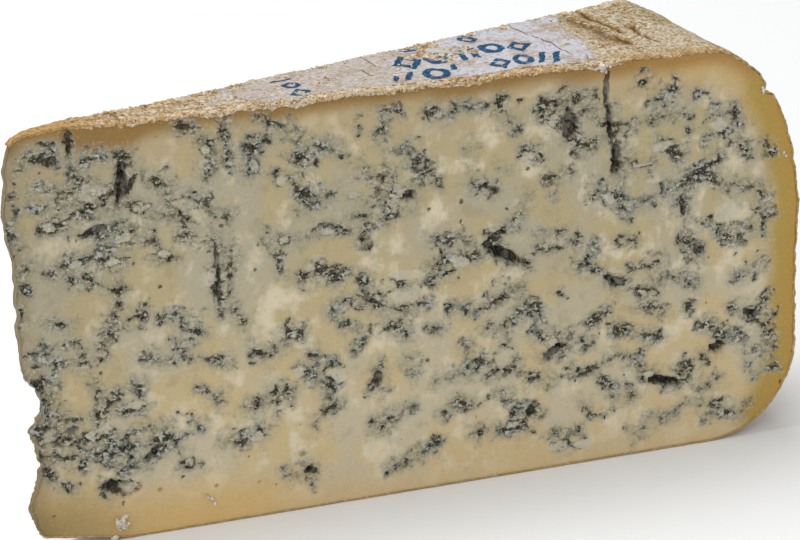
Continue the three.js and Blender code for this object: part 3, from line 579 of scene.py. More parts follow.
def marbling(tree):
    """How mouldy the paste is: dark core, its soft edge, grey bloom, pale tufts that are partly painted
    highlights, and pale lumps, 0 to 1.
    """
    place, mould, lump = kept(tree, "flat_place", place=True), kept(tree, "mould"), kept(tree, "lump")
    bent = place + (noise(place, 1.5, 3, 0.6, gives="Color") - 0.5) * (1.6 * MM)
    groups, patchy = noise(place, 6, 1) - 0.5, noise(place, 2.6, 2, 0.55) - 0.5
    spots = noise(bent, 1.7, 4, 0.65) - 0.5
    inky, pale, _ = cells(bent * (0.8, 0.8, 1.25), 0.7, gives="Color").split()
    gaps = cells(bent * (0.75, 0.75, 1.15), 2.9, feature="DISTANCE_TO_EDGE")
    specks = cells(bent, 6, gives="Distance").above(0.085, 0.05)
    # Firm pale lumps of curd, each with a dark seam round it: partly a crack, partly painted shade in the
    # gap.
    swell = lump + spots * 2.4 + patchy * 0.8
    lumps = swell.above(0.05, 0.45)
    seam_and_shade = swell.off().above(0.3, 0) * lump.above(-0.7, -0.3)
    crumbly = (inky - 0.5) * 0.05 + seam_and_shade * 0.07 - lumps * 0.14
    # Mould in the gaps between the curds, in blots, and in a thin line along each run.
    thick = mould.most(-1).least(0.9) * 0.1 + patchy * 0.75 + groups * 0.3 + spots * 0.25 - 0.018
    blot = spots * 0.85 + groups * 0.2 + mould.most(-1.5).least(1.1) * 0.11 - 0.145
    line = patchy * 1.1 + spots * 0.8 + groups * 0.5 - kept(tree, "vein") * 0.27 + 0.06
    dark = (thick - gaps).most(blot).most(line) + crumbly
    soft = (thick - gaps * 0.45 - 0.04).most(blot).most(line) + crumbly * 1.2
    near_mould = (mould + groups * 3 + patchy * 1.5).above(-1.2, 0.1)
    core = (dark.above(-0.01, 0.06) * near_mould.above(0.1, 0.4)).most(specks * 0.8)
    edge = soft.above(-0.205, 0.04) * near_mould
    bloom = (mould + groups * 3 + patchy * 3).above(-1.4, 0.8) * (inky * 0.3 + 0.75)
    # Pale tufts by the mould: raised crumbs, pale partly in their own colour and partly as a painted
    # highlight.
    tufts_and_highlights = (pale * 0.7 + spots * 2.2).above(0.42, 0.74)
    tufts_and_highlights = tufts_and_highlights * (mould + groups * 2 + patchy * 2).above(-0.7, 0.8)
    return core, edge, bloom, tufts_and_highlights, lumps


def hollowed(tree):
    """How far inside an open hollow a place is: below 0 outside, with an uneven edge."""
    return kept(tree, "hollow") + (noise(kept(tree, "flat_place", place=True), 1.9, 4, 0.65) - 0.5) * 2


def furrow_depth(rolled, furrows):
    """The depth in millimetres of wavering furrows that run parallel to the rim."""
    at = rolled * (1, 1, 0)
    out, around, _ = in_mm(at)
    # They waver by up to 2.5 mm, and fade over the 3 mm to each side of where they end.
    wavered, fade = out + (noise(at, 7, 2) - 0.5) * 5, 3
    depths = []
    for middle, wide, deep, start, end in furrows:
        first, last = ((2 * share - 1) * middle * HALF_ANGLE for share in (start, end))
        inside = around.above(first - fade, first + fade) * around.above(last + fade, last - fade)
        depths.append(wavered.off(middle).above(wide, 0) * inside * deep)
    return reduce(Field.__add__, depths)


def rind_relief(rolled, given):
    """The height of the rind: broad swells, wrinkles parallel to the rim, and furrows."""
    at = rolled * (1, 1, 0)
    out, around, _ = in_mm(at)
    rougher = out.above(150, 175) * 0.9 + 1
    height = (noise(at, 13, 2) - 0.5) * given["Swell height"]
    height = height + (noise(at * (1, 0.55, 1), 2.6, 3, 0.6) - 0.5) * rougher * given["Wrinkle height"]
    swell_out, swell_around, reach, high = FAR_SWELL
    outwards, sideways = out - swell_out, around - swell_around
    swell = (outwards * outwards * 0.7 + sideways * sideways).above(reach**2, 0)
    return height + swell * (high * MM) - furrow_depth(rolled, FURROWS) * MM


def shape_tree(name, *sizes):
    """A geometry tree, and what it is given: a mesh, these sizes and a material."""
    tree = bpy.data.node_groups.new(name, "GeometryNodeTree")
    kinds = {"Mesh": "Geometry", **dict.fromkeys(sizes, "Float"), "Material": "Material"}
    for given, kind in kinds.items():
        tree.interface.new_socket(given, in_out="INPUT", socket_type="NodeSocket" + kind)
    tree.interface.new_socket("Mesh", in_out="OUTPUT", socket_type="NodeSocketGeometry")
    start = tree.nodes.new("NodeGroupInput")
    return tree, {socket.name: Field(tree, socket) for socket in start.outputs if socket.name}


def moved(given, shift):
    """The mesh that a tree is given, with its corners shifted."""
    return add(shift.tree, "GeometryNodeSetPosition", given["Mesh"], Offset=shift)


def end_tree(given, shape):
    """Ends a geometry tree, and gives it: all made real, then given its material."""
    tree = shape.tree
    real = add(tree, "GeometryNodeRealizeInstances", shape)
    dressed = add(tree, "GeometryNodeSetMaterial", real, Material=given["Material"])
    tree.links.new(dressed.socket, tree.nodes.new("NodeGroupOutput").inputs[0])
    return tree


def grow(name, mesh, tree, sizes):
    """Runs a geometry tree on a mesh and gives the piece that comes out, with no modifier left."""
    piece = bpy.data.objects.new(name, mesh)
    bpy.context.scene.collection.objects.link(piece)
    modifier = piece.modifiers.new("shape", "NODES")
    modifier.node_group = tree
    for item in tree.interface.items_tree:
        if item.in_out == "INPUT" and item.name in sizes:
            modifier[item.identifier] = sizes[item.name]
    graph = bpy.context.evaluated_depsgraph_get()
    shaped = bpy.data.meshes.new_from_object(
        piece.evaluated_get(graph), preserve_all_data_layers=True, depsgraph=graph)
    piece.modifiers.remove(modifier)
    piece.data = shaped
    shaped.name = name
    return piece


def paste_shape():
    """Sinks hollows, mould and crumbs into the cut faces and the torn end."""
    tree, given = shape_tree("paste_shape", "Mould depth", "Crumb depth", "Torn depth", *RIND_HEIGHTS)
    place = kept(tree, "flat_place", place=True)
    core, _, bloom, tufts_and_highlights, firm = marbling(tree)
    pits = hollowed(tree).above(-0.1, 0.7) * (firm * -0.7 + 1)
    curds, waves = noise(place, 1.6, 3, 0.6), noise(place, 9, 2)
    sunk = pits * kept(tree, "deep") * (curds * 0.8 + 0.6) * MM
    sunk = sunk + (core - tufts_and_highlights * 0.8 - firm) * given["Mould depth"]
    sunk = sunk + bloom * (curds - 0.35) * given["Crumb depth"] + waves * (0.35 * MM)
    sunk = sunk.most(0).least(kept(tree, "room") * MM)
    relief = rind_relief(kept(tree, "rolled", place=True), given) * kept(tree, "relief")
    shift = kept(tree, "inward", place=True) * sunk + kept(tree, "outward", place=True) * relief
    up = in_mm(place)[2]
    rough = up.above(46, 30) * 1.1 + 0.4
    crumbs = (noise(place, 1.8, 3, 0.65) - 0.5) * rough + noise(place, 4.5, 1) * 0.8 - 0.25
    crumbs = crumbs * kept(tree, "from_torn").above(3.2, 0) * up.above(0.5, 4)
    shift = shift + add(tree, "ShaderNodeCombineXYZ", crumbs * given["Torn depth"])
    return end_tree(given, moved(given, shift))


def rgb(tone):
    """A tone given as it shows on a screen, 0 to 255, as the shaders want it."""
    return tuple(((c / 255 + 0.055) / 1.055) ** 2.4 if c > 10 else c / 255 / 12.92 for c in tone)


def mix(share, low, high):
    """A number or a colour between two, each a field or given as it is."""
    low, high = (rgb(given) if isinstance(given, tuple) else given for given in (low, high))
    kind = "FLOAT" if np.isscalar(low) else "RGBA"
    return add(share.tree, "ShaderNodeMix", share, low, high, data_type=kind)


def coats(colour, *layers):
    """A colour under coats of others, each with its share and its tone."""
    for share, tone in layers:
        colour = mix(share, colour, tone)
    return colour


def shader(name):
    """A new material and its tree."""
    material = bpy.data.materials.new(name)
    material.use_nodes = True
    return material, material.node_tree


def finished(material, colour, bumps, strength, deep, roughness=0.85, shine=0.15):
    """The material with its colour, and with bumps of this strength and depth in millimetres."""
    tree = material.node_tree
    bump = add(tree, "ShaderNodeBump", Strength=strength, Distance=deep * MM, Height=bumps)
    looks = {"Base Color": colour, "Roughness": roughness, "Specular IOR Level": shine, "Normal": bump}
    for name, value in looks.items():
        plug(tree, tree.nodes["Principled BSDF"].inputs[name], value)
    return material


def paste_finish():
    """Cream paste that darkens and yellows to the rind, with blue-grey mould, and with painted shade in its
    hollows, under the crust and towards the torn end.
    """
    material, tree = shader("paste")
    place = kept(tree, "flat_place", place=True)
    real = add(tree, "ShaderNodeTexCoord", gives="Object")
    from_top, from_rim, from_base = kept(tree, "from_rind", place=True).split()
    from_torn = kept(tree, "from_torn")
    core, edge, bloom, tufts_and_highlights, firm = marbling(tree)
    pits = hollowed(tree).above(0, 0.3) * (firm * -0.8 + 1)
    out = in_mm(place)[0] - AXIS_X
    to_rim, from_thin = out.above(112, 146), out.above(45, 75)
    blotch, streaks = noise(place, 13, 1), noise(place * (1, 1, 0.22), 1.7, 2, 0.6)
    patchy = noise(place, 6, 3, 0.55) * 0.85 + streaks * 0.15
    cool, grain = noise(place, 11, 2).above(0.46, 0.6), noise(real, 0.6, 2, 0.6)
    dip = out.off(25).above(11, 3) * 1.6
    # The hollows' lining: near-black where it is darkest, which is painted shade inside the hollows, with
    # pale bits, and brown near the top.
    lining_and_shade = coats(
        mix(noise(real, 1.3, 3, 0.7).above(0.46, 0.66), (26, 22, 16), (108, 103, 90)),
        (noise(real, 2.4, 2).above(0.52, 0.66) * 0.75, (142, 138, 126)),
        (from_top.above(7, 3) * 0.5, (84, 58, 32)),
    )
    colour = coats(
        mix(blotch.above(0.4, 0.6), (173, 163, 138), (178, 163, 124)),
        # The paste itself, warmer in its lower half, with paler and darker patches.
        (from_base.above(58, 12), mix(blotch.above(0.4, 0.6), (192, 180, 152), (198, 177, 134))),
        (patchy.above(0.47, 0.64) * 0.95, (212, 199, 170)),
        (patchy.above(0.4, 0.3) * 0.35, (150, 136, 104)),
        # Golden along the base, brown at the foot of the thin end, warm under the top, then bloom.
        ((from_base + blotch * 5 + from_thin * 4).above(16, 5) * 0.9,
         mix(from_thin, (206, 172, 111), (202, 178, 134))),
        (out.above(32, 9) * (from_base + blotch * 6).above(17, 5) * 0.85, (148, 125, 74)),
        ((from_top + blotch * 4).above(16, 7) * 0.5, (180, 158, 118)),
        (bloom * 0.76, (139, 136, 115)),
        # Browned beside the rind, where the narrow dark band just under the top is partly the paste's own
        # browning and partly painted shade under the overhanging crust; then the small stains.
        ((from_top + blotch * 4).above(12, 5) * to_rim * 0.85, (194, 164, 110)),
        # Painted shade under the overhanging crust, over the paste's own browning.
        ((from_top + blotch * 3 + out.above(19, 15) * 1.3 - dip).above(6.4, 2.5) * 0.95,
         mix(to_rim, (142, 108, 50), (162, 124, 62))),
        ((from_rim + blotch * 3).above(10, 5), (169, 141, 68)),
        ((from_rim + blotch * 2).above(4.2, 1.4) * 0.6, (178, 134, 60)),
        (kept(tree, "stain").above(0.05, 0.5) * 0.85, (160, 132, 38)),
        # Darker towards the torn end: partly the paste's own dried, dull colour and partly painted shade,
        # most on the torn face itself.
        (from_torn.above(5, 0) * 0.5, (122, 104, 70)),
        (from_torn.above(0.9, 0) * 0.6, (108, 91, 60)),
        (from_torn.above(34, 6) * 0.16, (110, 98, 72)),
        # Firm lumps, then the mould from its soft edge to its inky core, and pale tufts, partly pale crumbs
        # and partly painted highlights.
        (firm * (blotch * 0.5 + 0.2), (194, 189, 172)),
        (edge * 0.82, mix(edge.above(0.2, 0.9), (138, 134, 112), mix(cool, (93, 88, 68), (86, 91, 86)))),
        (core, mix(noise(real, 0.7, 2, 0.7).above(0.35, 0.7), (28, 25, 12), (78, 74, 57))),
        (tufts_and_highlights * 0.75, mix(cool, (196, 191, 173), (190, 192, 182))),
        # Light and dark grains, and the lining of the open hollows, whose near-black parts are painted
        # shade inside them.
        (grain.above(0.56, 0.72) * (bloom * 0.35 + edge * 0.3 + 0.1), (210, 204, 186)),
        (grain.above(0.45, 0.28) * (bloom * 0.4 + edge * 0.3 + 0.1), (80, 74, 56)),
        (pits * 0.9, lining_and_shade),
    )
    grit = noise(real, 0.55, 3, 0.7) * 0.3 + noise(place, 2.2, 3, 0.6) * 0.5 - core * 0.5
    grit = grit + streaks * 0.5 + tufts_and_highlights * 0.4
    roughness = mix(core.most(pits), 0.5, 0.85)
    return finished(material, colour, grit, 0.6, 0.3, roughness, shine=0.25)


paste = grow("paste", paste_block(), paste_shape(), {
    "Mould depth": 0.35 * MM, "Crumb depth": 0.5 * MM, "Torn depth": 1.5 * MM, **RIND_HEIGHTS,
    "Material": paste_finish(),
})
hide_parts("cheese")
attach(paste, "root")

# The rind: a dry crust of ochre and white moulds that grows over the whole wheel and is cut through
# with it. It is a shell that wraps the paste from the thin end over the top, round the rim and
# under the base. Its cut edges are crumbly and stand a little proud of the paste.
RIND_THICK, RIND_COLUMNS = 1.7, 80
# How near the wheel's axis the shell may come.
RIND_FROM = 3
# What is added to the depth of a place on a cut edge, so that the finish can tell it from the skin.
CUT_MARK = 3
# The rings' spacing on the top and the rim, and under the base, and how much of the shell that is.
RING_STEP, BASE_RING_STEP, BASE_LONG = 0.5, 0.9, 150
# Where the rind dips at a needle hole of the near cut: place out, depth and half width.
NEEDLE_DIP = (127.5, 0.3, 3)
# The crust's depth at the top's cut edges, by the place out.
CRUST_PLACES, CRUST_DEPTHS = (8, 22, 30, 62, 80, 130, 140), (0.05, 0.2, 0.9, 1.1, 0.8, 0.6, 0)
# The cut edge's profile, from the skin inwards: share of the depth, and how proud it stands, where
# below 0 it is millimetres under the face and above 0 a share of what the teeth give.
CUT_PROFILE = ((0.3, 0.9), (0.65, 1), (1, 0.7), (1.02, -0.7))


def uneven(places, spacing, draw):
    """Random heights of about -1 to 1 along a line, with this spacing."""
    knots = np.arange(places.min() - spacing, places.max() + 2 * spacing, spacing)
    return np.interp(places, knots, draw.uniform(-1, 1, len(knots)))


def ragged(places, spacing, draw):
    """Random heights with three sizes of tooth, the finest a quarter of the spacing."""
    return sum(uneven(places, spacing / 2**k, draw) / 1.6**k for k in range(3)) / 1.9


def needle_dip(out):
    """How deep the dip of the needle hole is at the near cut, by the place out."""
    middle, deep, half = NEEDLE_DIP
    return deep * np.exp(-(((out - middle) / half) ** 2))


def rind_rings():
    """The shell's rings: their places along the outline, their points, and their ways out."""
    steps = np.hypot(*np.diff(OUTLINE, axis=0).T)
    length = np.concatenate([[0], np.cumsum(steps)])
    fine_to = length[-1] - BASE_LONG
    lengths = np.concatenate([np.arange(0, fine_to, RING_STEP),
                              np.linspace(fine_to, length[-1], int(BASE_LONG / BASE_RING_STEP))])
    points = np.stack([np.interp(lengths, length, axis) for axis in OUTLINE.T], -1)
    ahead = np.gradient(points, axis=0)
    ahead /= np.hypot(*ahead.T)[:, None]
    return lengths, points, np.stack([-ahead[:, 1], ahead[:, 0]], -1)


def cut_teeth(points, lengths, draw):
    """How deep the crust's crumbly edge hangs at each ring, and how proud: most on the top."""
    top = on_top(points[:, 1])
    thick = np.interp(points[:, 0], CRUST_PLACES, CRUST_DEPTHS)
    teeth, long_teeth = ragged(lengths, 2.2, draw), uneven(lengths, 11, draw)
    deep = 0.35 + 0.15 * teeth + top * (0.15 + thick * (0.3 + 0.4 * teeth + 0.2 * long_teeth))
    proud = 0.02 + top * np.clip(thick, 0.1, 1) * (0.35 + 0.3 * ragged(lengths, 1.5, draw))
    return np.clip(deep, 0.2 + 0.3 * top, 1.7), proud


def rind_shell():
    """The closed shell of the rind, with what its relief and its finish go by."""
    lengths, points, ways_out = rind_rings()
    draw = np.random.default_rng(11)
    near_teeth, far_teeth = (np.array(cut_teeth(points, lengths, draw))[..., None] for _ in range(2))
    far_curls, near_curls = (0.5 * ragged(lengths, 3, draw)[:, None] for _ in range(2))
    # One loop round the shell: over the skin, down the far cut, back inside, and up the near cut.
    loop = [(across, 0, 0, 0) for across in np.linspace(-1, 1, RIND_COLUMNS + 1)]
    loop += [(1, 1, depth, proud) for depth, proud in CUT_PROFILE]
    loop += [(across, 0, 2, 0) for across in np.linspace(0.5, -0.5, 5)]
    loop += [(-1, -1, depth, proud) for depth, proud in CUT_PROFILE[::-1]]
    across, side, depth, proud = np.array(loop).T
    out, up = points.T[:, :, None]
    out_way, up_way = ways_out.T[:, :, None]
    turn, near, top = across * HALF_ANGLE, np.maximum(0, -across), on_top(up)
    deep, out_of_face = np.where(side < 0, near_teeth, far_teeth)
    from_cut = (1 - abs(across)) * out * HALF_ANGLE
    down = np.where(side == 0, RIND_THICK * (depth > 0), depth * deep)
    curled = 0.12 - 0.6 * np.where(across < 0, near_curls, far_curls)
    down = down + np.maximum(0, 1 - from_cut / 1.6) ** 2 * top * curled
    down += (up > WHEEL_HEIGHT / 2) * needle_dip(out) * near + notch_depth(out, up, near)
    scallops = 0.5 * np.maximum(0, far_curls + 0.1) * np.maximum(0, 1 - from_cut / 3)
    down += (up < 1) * (across < 0) * scallops
    sideways = side * (np.minimum(0, proud) + np.maximum(0, proud) * out_of_face)
    places = wheel_point(np.maximum(out - out_way * down, RIND_FROM), turn, up - up_way * down)
    places += sideways[..., None] * turned(1, turn + math.pi / 2, 0) * MM
    grid = np.arange(down.size).reshape(down.shape)
    here, there = grid[:-1], grid[1:]
    quads = np.stack([here, there, np.roll(there, -1, 1), np.roll(here, -1, 1)], -1).reshape(-1, 4)
    mesh = bpy.data.meshes.new("rind")
    caps = [grid[0].tolist(), grid[-1][::-1].tolist()]
    mesh.from_pydata(places.reshape(-1, 3).tolist(), [], [*quads.tolist(), *caps])
    mesh.shade_smooth()
    rounds, inside = lengths[:, None] + TORN_EDGE[-1][0], depth * deep + CUT_MARK * abs(side)
    keep(
        mesh,
        rolled=np.stack(np.broadcast_arrays(rounds, out * turn, inside), -1) * MM,
        outward=turned(out_way, turn, up_way),
        relief=np.minimum(1, up / FLAT_FOOT) + 0 * across,
        cut_edge=np.where(depth > 0, 1, np.maximum(0, 1 - from_cut / 3.5) * top),
    )
    return mesh


def rind_shape():
    """Raises the rind's swells, wrinkles and grain, and sinks its furrows."""
    tree, given = shape_tree("rind_shape", *RIND_HEIGHTS, "Grain height")
    rolled = kept(tree, "rolled", place=True)
    grain = (noise(rolled, 1.2, 3, 0.65) - 0.5) * (kept(tree, "cut_edge") * 1.6 + 1)
    grain = grain * (in_mm(rolled)[0].above(14, 32) * 0.7 + 0.3)
    height = rind_relief(rolled, given) + grain * given["Grain height"]
    shift = kept(tree, "outward", place=True) * height * kept(tree, "relief")
    return end_tree(given, moved(given, shift))


def toasted(out):
    """1 along the parts of the cut edges where the crust is golden."""
    return out.off(107).above(17, 9).most(out.off(33).above(13, 6))


def rind_colour(rolled, cut_edge):
    """Pale crumbly rind, golden at the thin end, along the cuts and in the furrows, with painted shade in
    the furrows and under the crust's cut edges.
    """
    out, around, depth = in_mm(rolled)
    grains, flour = noise(rolled * (1, 0.8, 1), 0.7, 3, 0.75), noise(rolled, 2, 3, 0.65)
    patches, hue = noise(rolled * (1, 0.6, 1), 7, 2), noise(rolled, 3.2, 2)
    outer = out.above(124, 134)
    plain = coats(
        mix(patches.above(0.38, 0.62), (140, 117, 78), (158, 140, 106)),
        (flour.above(0.44, 0.58), mix(out.above(118, 132), (208, 196, 176), (194, 183, 162))),
        (around.above(-2, 15) * outer * 0.3, (132, 110, 60)),
        (around.above(0, -14) * outer * 0.35, (190, 170, 140)),
        ((patches + flour * 0.5).above(0.76, 0.6) * 0.8, (134, 102, 52)),
    )
    far_top = around.above(-4, 4) * out.above(120, 130) * -0.85 + 1
    from_cut = out * HALF_ANGLE - around.off()
    golden = out.above(34, 22).most(from_cut.above(8, 1) * 0.7)
    golden = (golden + (patches - 0.5) * 2 + (flour - 0.5) * 2).above(0.35, 0.85)
    golden = golden * out.above(152, 144) * far_top
    crust = coats(
        mix(grains.above(0.35, 0.6), (142, 108, 60), (184, 156, 112)),
        (flour.above(0.42, 0.54) * out.above(18, 30) * 0.9, (204, 188, 162)),
        (toasted(out) * far_top * 0.5, (178, 136, 76)),
        # Painted shade on its underside, then its parts by the rim and by the thin end.
        (depth.above(CUT_MARK + 0.4, CUT_MARK + 1.2) * 0.7, (142, 106, 54)),
        (out.above(128, 136) * far_top * 0.8, (172, 132, 70)),
        (out.above(27, 18) * 0.6, (176, 137, 78)),
        (out.above(152, 170) * 0.8, (172, 140, 78)),
    )
    # Masks for painted shade in the furrows: a broad one, partly the rind's own browning, and a narrow one
    # for the dark slits.
    browned_and_shaded = furrow_depth(rolled, [(middle, wide * 2.2, *rest) for middle, wide, *rest in FURROWS])
    slit_shade = furrow_depth(
        rolled, [(middle + wide * 0.3, wide * 0.55, *rest) for middle, wide, *rest in FURROWS])
    colour = coats(
        plain,
        # Golden by the thin end and the cuts, then the crust of the cut edges.
        (golden, mix(flour.above(0.38, 0.6), (130, 97, 48), (161, 129, 78))),
        ((flour + cut_edge * 1.6 - 0.5).above(0.25, 0.8), crust),
        # Olive and rosy patches near the rim, and dark and floury grains all over.
        (hue.above(0.54, 0.64) * outer * 0.45, (152, 139, 88)),
        (hue.above(0.46, 0.38) * outer * 0.45, (186, 172, 154)),
        (grains.above(0.5, 0.34) * (out.above(165, 145) * 0.5 + 0.2), (100, 76, 40)),
        (grains.above(0.49, 0.66) * (out.above(14, 32) * 0.8 + 0.1), (214, 205, 186)),
        # The furrows: brown about them, partly the rind's own colour and partly painted shade, and painted
        # shade as dark slits along their middles.
        ((browned_and_shaded * 1.3 + flour * 1.4 - 1.1).above(0, 0.6) * 0.75, (146, 110, 54)),
        ((slit_shade * 1.6).least(1) * flour.above(0.36, 0.5) * 0.85, (70, 50, 22)),
        # The rim, and then the underside.
        (out.above(150, 163) * out.above(270, 255) * 0.6, (168, 138, 78)),
        (out.above(245, 262) * 0.5, (166, 136, 90)),
    )
    return colour, grains, flour


def rind_finish():
    """The rind's colours, with painted shade in its furrows and under its crust, dull and grainy."""
    material, tree = shader("rind")
    colour, grains, flour = rind_colour(kept(tree, "rolled", place=True), kept(tree, "cut_edge"))
    return finished(material, colour, grains * 0.8 + flour * 0.4, 0.7, 0.35)


rind = grow("rind", rind_shell(), rind_shape(), {
    **RIND_HEIGHTS, "Grain height": 0.6 * MM, "Material": rind_finish(),
})
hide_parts("cheese")
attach(rind, "root")

# The frill: loose flakes and white tufts of crust that stick out along the top's two cut edges,
# where the knife tore the dry rind.
FRILL_FROM, FRILL_TO = 26, 138


def frill_rail():
    """A line along each cut edge of the top, near and far."""
    out = np.arange(FRILL_FROM, FRILL_TO, 1.0)
    up = np.interp(out, *np.array(TOP_LINE).T) - needle_dip(out) - 0.15
    lines = [wheel_point(out, side * HALF_ANGLE, up) for side in (-1, 1)]
    edges = [(i, i + 1) for i in range(2 * len(out) - 1) if i != len(out) - 1]
    rail = bpy.data.meshes.new("frill")
    rail.from_pydata(np.concatenate(lines).tolist(), edges, [])
    return rail


def lump_kinds(tree, levels, rough):
    """Four irregular lumps of radius 1, as instances to pick from."""
    kinds = tree.nodes.new("GeometryNodeJoinGeometry")
    for kind in range(4):
        ball = add(tree, "GeometryNodeMeshIcoSphere", 1, levels)
        at = add(tree, "GeometryNodeInputPosition")
        swell = add(tree, "ShaderNodeTexNoise", at + kind * 7.0, 0.9, 2, gives="Fac") - 0.5
        shaped = add(tree, "GeometryNodeSetPosition", ball, Offset=at * (swell * rough))
        single = add(tree, "GeometryNodeGeometryToInstance", shaped)
        tree.links.new(single.socket, kinds.inputs[0])
    return Field(tree, kinds.outputs[0])


def random(tree, low, high, seed):
    """A number, or a place, drawn for each point."""
    kind = "FLOAT" if np.isscalar(low) else "FLOAT_VECTOR"
    return add(tree, "FunctionNodeRandomValue", low, high, Seed=seed, data_type=kind)


def scatter(tree, points, kinds, size, flatness, tilt, seed):
    """A lump of a random kind, turned and tilted at random, on each point."""
    pick = add(tree, "FunctionNodeRandomValue", 0, 3, Seed=seed, data_type="INT")
    turn = random(tree, (-tilt, -tilt, 0), (tilt, tilt, 6.28), seed + 1)
    long, wide, high = (random(tree, (1, 0.6, 0.5), (1.8, 1, 1), seed + 2) * size).split()
    stretch = add(tree, "ShaderNodeCombineXYZ", long, wide, high * flatness)
    return add(tree, "GeometryNodeInstanceOnPoints", points, Instance=kinds,
               **{"Pick Instance": True, "Instance Index": pick, "Rotation": turn, "Scale": stretch})


def frill_shape():
    """Strews flakes along the rail: most close to it, some further in, some hanging over the cut."""
    tree, given = shape_tree("frill_shape", "Spacing", "Least size", "Greatest size")
    rail = add(tree, "GeometryNodeMeshToCurve", given["Mesh"])
    dots = add(tree, "GeometryNodeResampleCurve", rail, Length=given["Spacing"], mode="LENGTH")
    dots = add(tree, "GeometryNodeCurveToPoints", dots, mode="EVALUATED")
    side = add(tree, "GeometryNodeInputPosition").split()[1].calc("SIGN")
    inwards = random(tree, 0.0, 1.0, 12)
    across = inwards * inwards * (-2.2 * MM) + 0.25 * MM
    hang = inwards.above(0.3, 0.1) * random(tree, -0.6 * MM, 0.0, 14)
    hang = hang + inwards.above(0.3, 0.9) * (0.3 * MM)
    spread = add(tree, "ShaderNodeCombineXYZ", random(tree, -0.3 * MM, 0.3 * MM, 13), across * side, hang)
    dots = add(tree, "GeometryNodeSetPosition", dots, Offset=spread)
    large = random(tree, 0.0, 1.0, 4)
    size = given["Least size"] + (given["Greatest size"] - given["Least size"]) * large * large * large
    return end_tree(given, scatter(tree, dots, lump_kinds(tree, 1, 1.3), size, 0.8, 0.6, 8))


def frill_finish():
    """Tan flakes: floury in the middle, golden where the crust is, duller at the far cut, and browner where
    they hang low, which is painted shade.
    """
    material, tree = shader("frill")
    at = add(tree, "ShaderNodeTexCoord", gives="Object")
    tone, flecks = noise(at, 1.3, 2, 0.7), noise(at, 0.6, 2, 0.7)
    out, over, up = in_mm(at)
    out = out - AXIS_X
    floury = out.above(18, 32) * out.above(140, 122) * noise(at, 5, 2).above(0.36, 0.5)
    near_side = over.above(4, -4) * 0.85 + 0.15
    colour = coats(
        mix(tone.above(0.36, 0.6), (164, 130, 80), (186, 160, 118)),
        (tone.above(0.36, 0.5) * floury * 0.9, (208, 192, 166)),
        (toasted(out) * near_side * 0.5, (190, 148, 88)),
        (out.above(126, 132) * near_side * 0.6, (182, 138, 74)),
        (over.above(2, 8) * 0.7, (172, 156, 128)),
        # Painted shade on the flakes that hang below the top's edge.
        (up.above(85.1, 84.3) * 0.55, (156, 118, 64)),
        (flecks.above(0.4, 0.28) * 0.4, (140, 108, 62)),
    )
    return finished(material, colour, flecks, 0.5, 0.2)


frill = grow("frill", frill_rail(), frill_shape(), {
    "Spacing": 0.17 * MM, "Least size": 0.14 * MM, "Greatest size": 0.5 * MM,
    "Material": frill_finish(),
})
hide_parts("cheese")
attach(frill, "root")

# The label: a thin disc of paper that was pressed on the wheel while its rind grew, and is cut
# through with it. It has worn through towards the thin end, its near edge is frayed, and it has a
# blue print of lozenges, rings and bars.
LABEL_FROM, LABEL_TO = 35, 126.3
# The sheet's steps: outwards, through the paper, and from the near cut to the far one.
LABEL_STEPS = (210, 1, 64)
# How much further out its end is at the far cut, and how long that end is.
LABEL_SLANT, LABEL_END = 8, 34
# How far its edges lie in from the near and the far cut, and how high it lies over the rind.
NEAR_INSET, FAR_INSET, LABEL_LIFT, PAPER_THICK = 1.3, 0.6, 0.12, 0.12
# The print's marks: kind, place out, place along the arc, half width, half height and lean.
PRINT = [
    ("lozenge", 92.4, 2.8, 3.3, 4.4, 0.1), ("ring", 98.6, 2.9, 2.5, 4.1, 0.15),
    ("bar", 104, 1.6, 0.75, 3.1, 0.25), ("bar", 106.6, 1.6, 0.75, 3.1, 0.25),
    ("ring", 111.2, 2.7, 2.6, 3.4, 0.15), ("lozenge", 116.7, 1.4, 2.8, 3.6, 0.2),
    ("bar", 86, -5, 0.6, 2.2, 0.5), ("bar", 88.6, -5.4, 0.7, 2.6, 0.5),
    ("ring", 94.2, -6.5, 2.9, 3.5, 0.1), ("bar", 99, -4.2, 0.6, 1.6, 0.3),
    ("lozenge", 108.2, -7, 2.4, 3.6, 0.2), ("ring", 113.2, -7.2, 2.3, 3.2, 0.25),
    ("bar", 117.2, -7.6, 0.7, 3, 0.5), ("bar", 120.2, -8.2, 0.7, 3.2, 0.5),
    ("bar", 97.4, 10.2, 1.5, 0.5, 0), ("lozenge", 110.6, 10.8, 2.4, 3.2, 0.1),
    ("bar", 65.8, 4.6, 2.2, 0.4, 0.4), ("ring", 66.2, 1.2, 2, 1.6, 0),
    ("lozenge", 66, -3.6, 2.2, 2.4, 0), ("bar", 66.4, -6.9, 1.9, 0.4, -0.4),
]
# The paper's creases, given as the rind's furrows are.
PAPER_CREASES = [
    (123.1, 0.32, 0.1, 0.27, 0.94), (125.6, 0.28, 0.08, 0.08, 0.2), (87.2, 0.32, 0.1, 0.72, 1),
    (83, 0.32, 0.1, 0.36, 0.66),
]


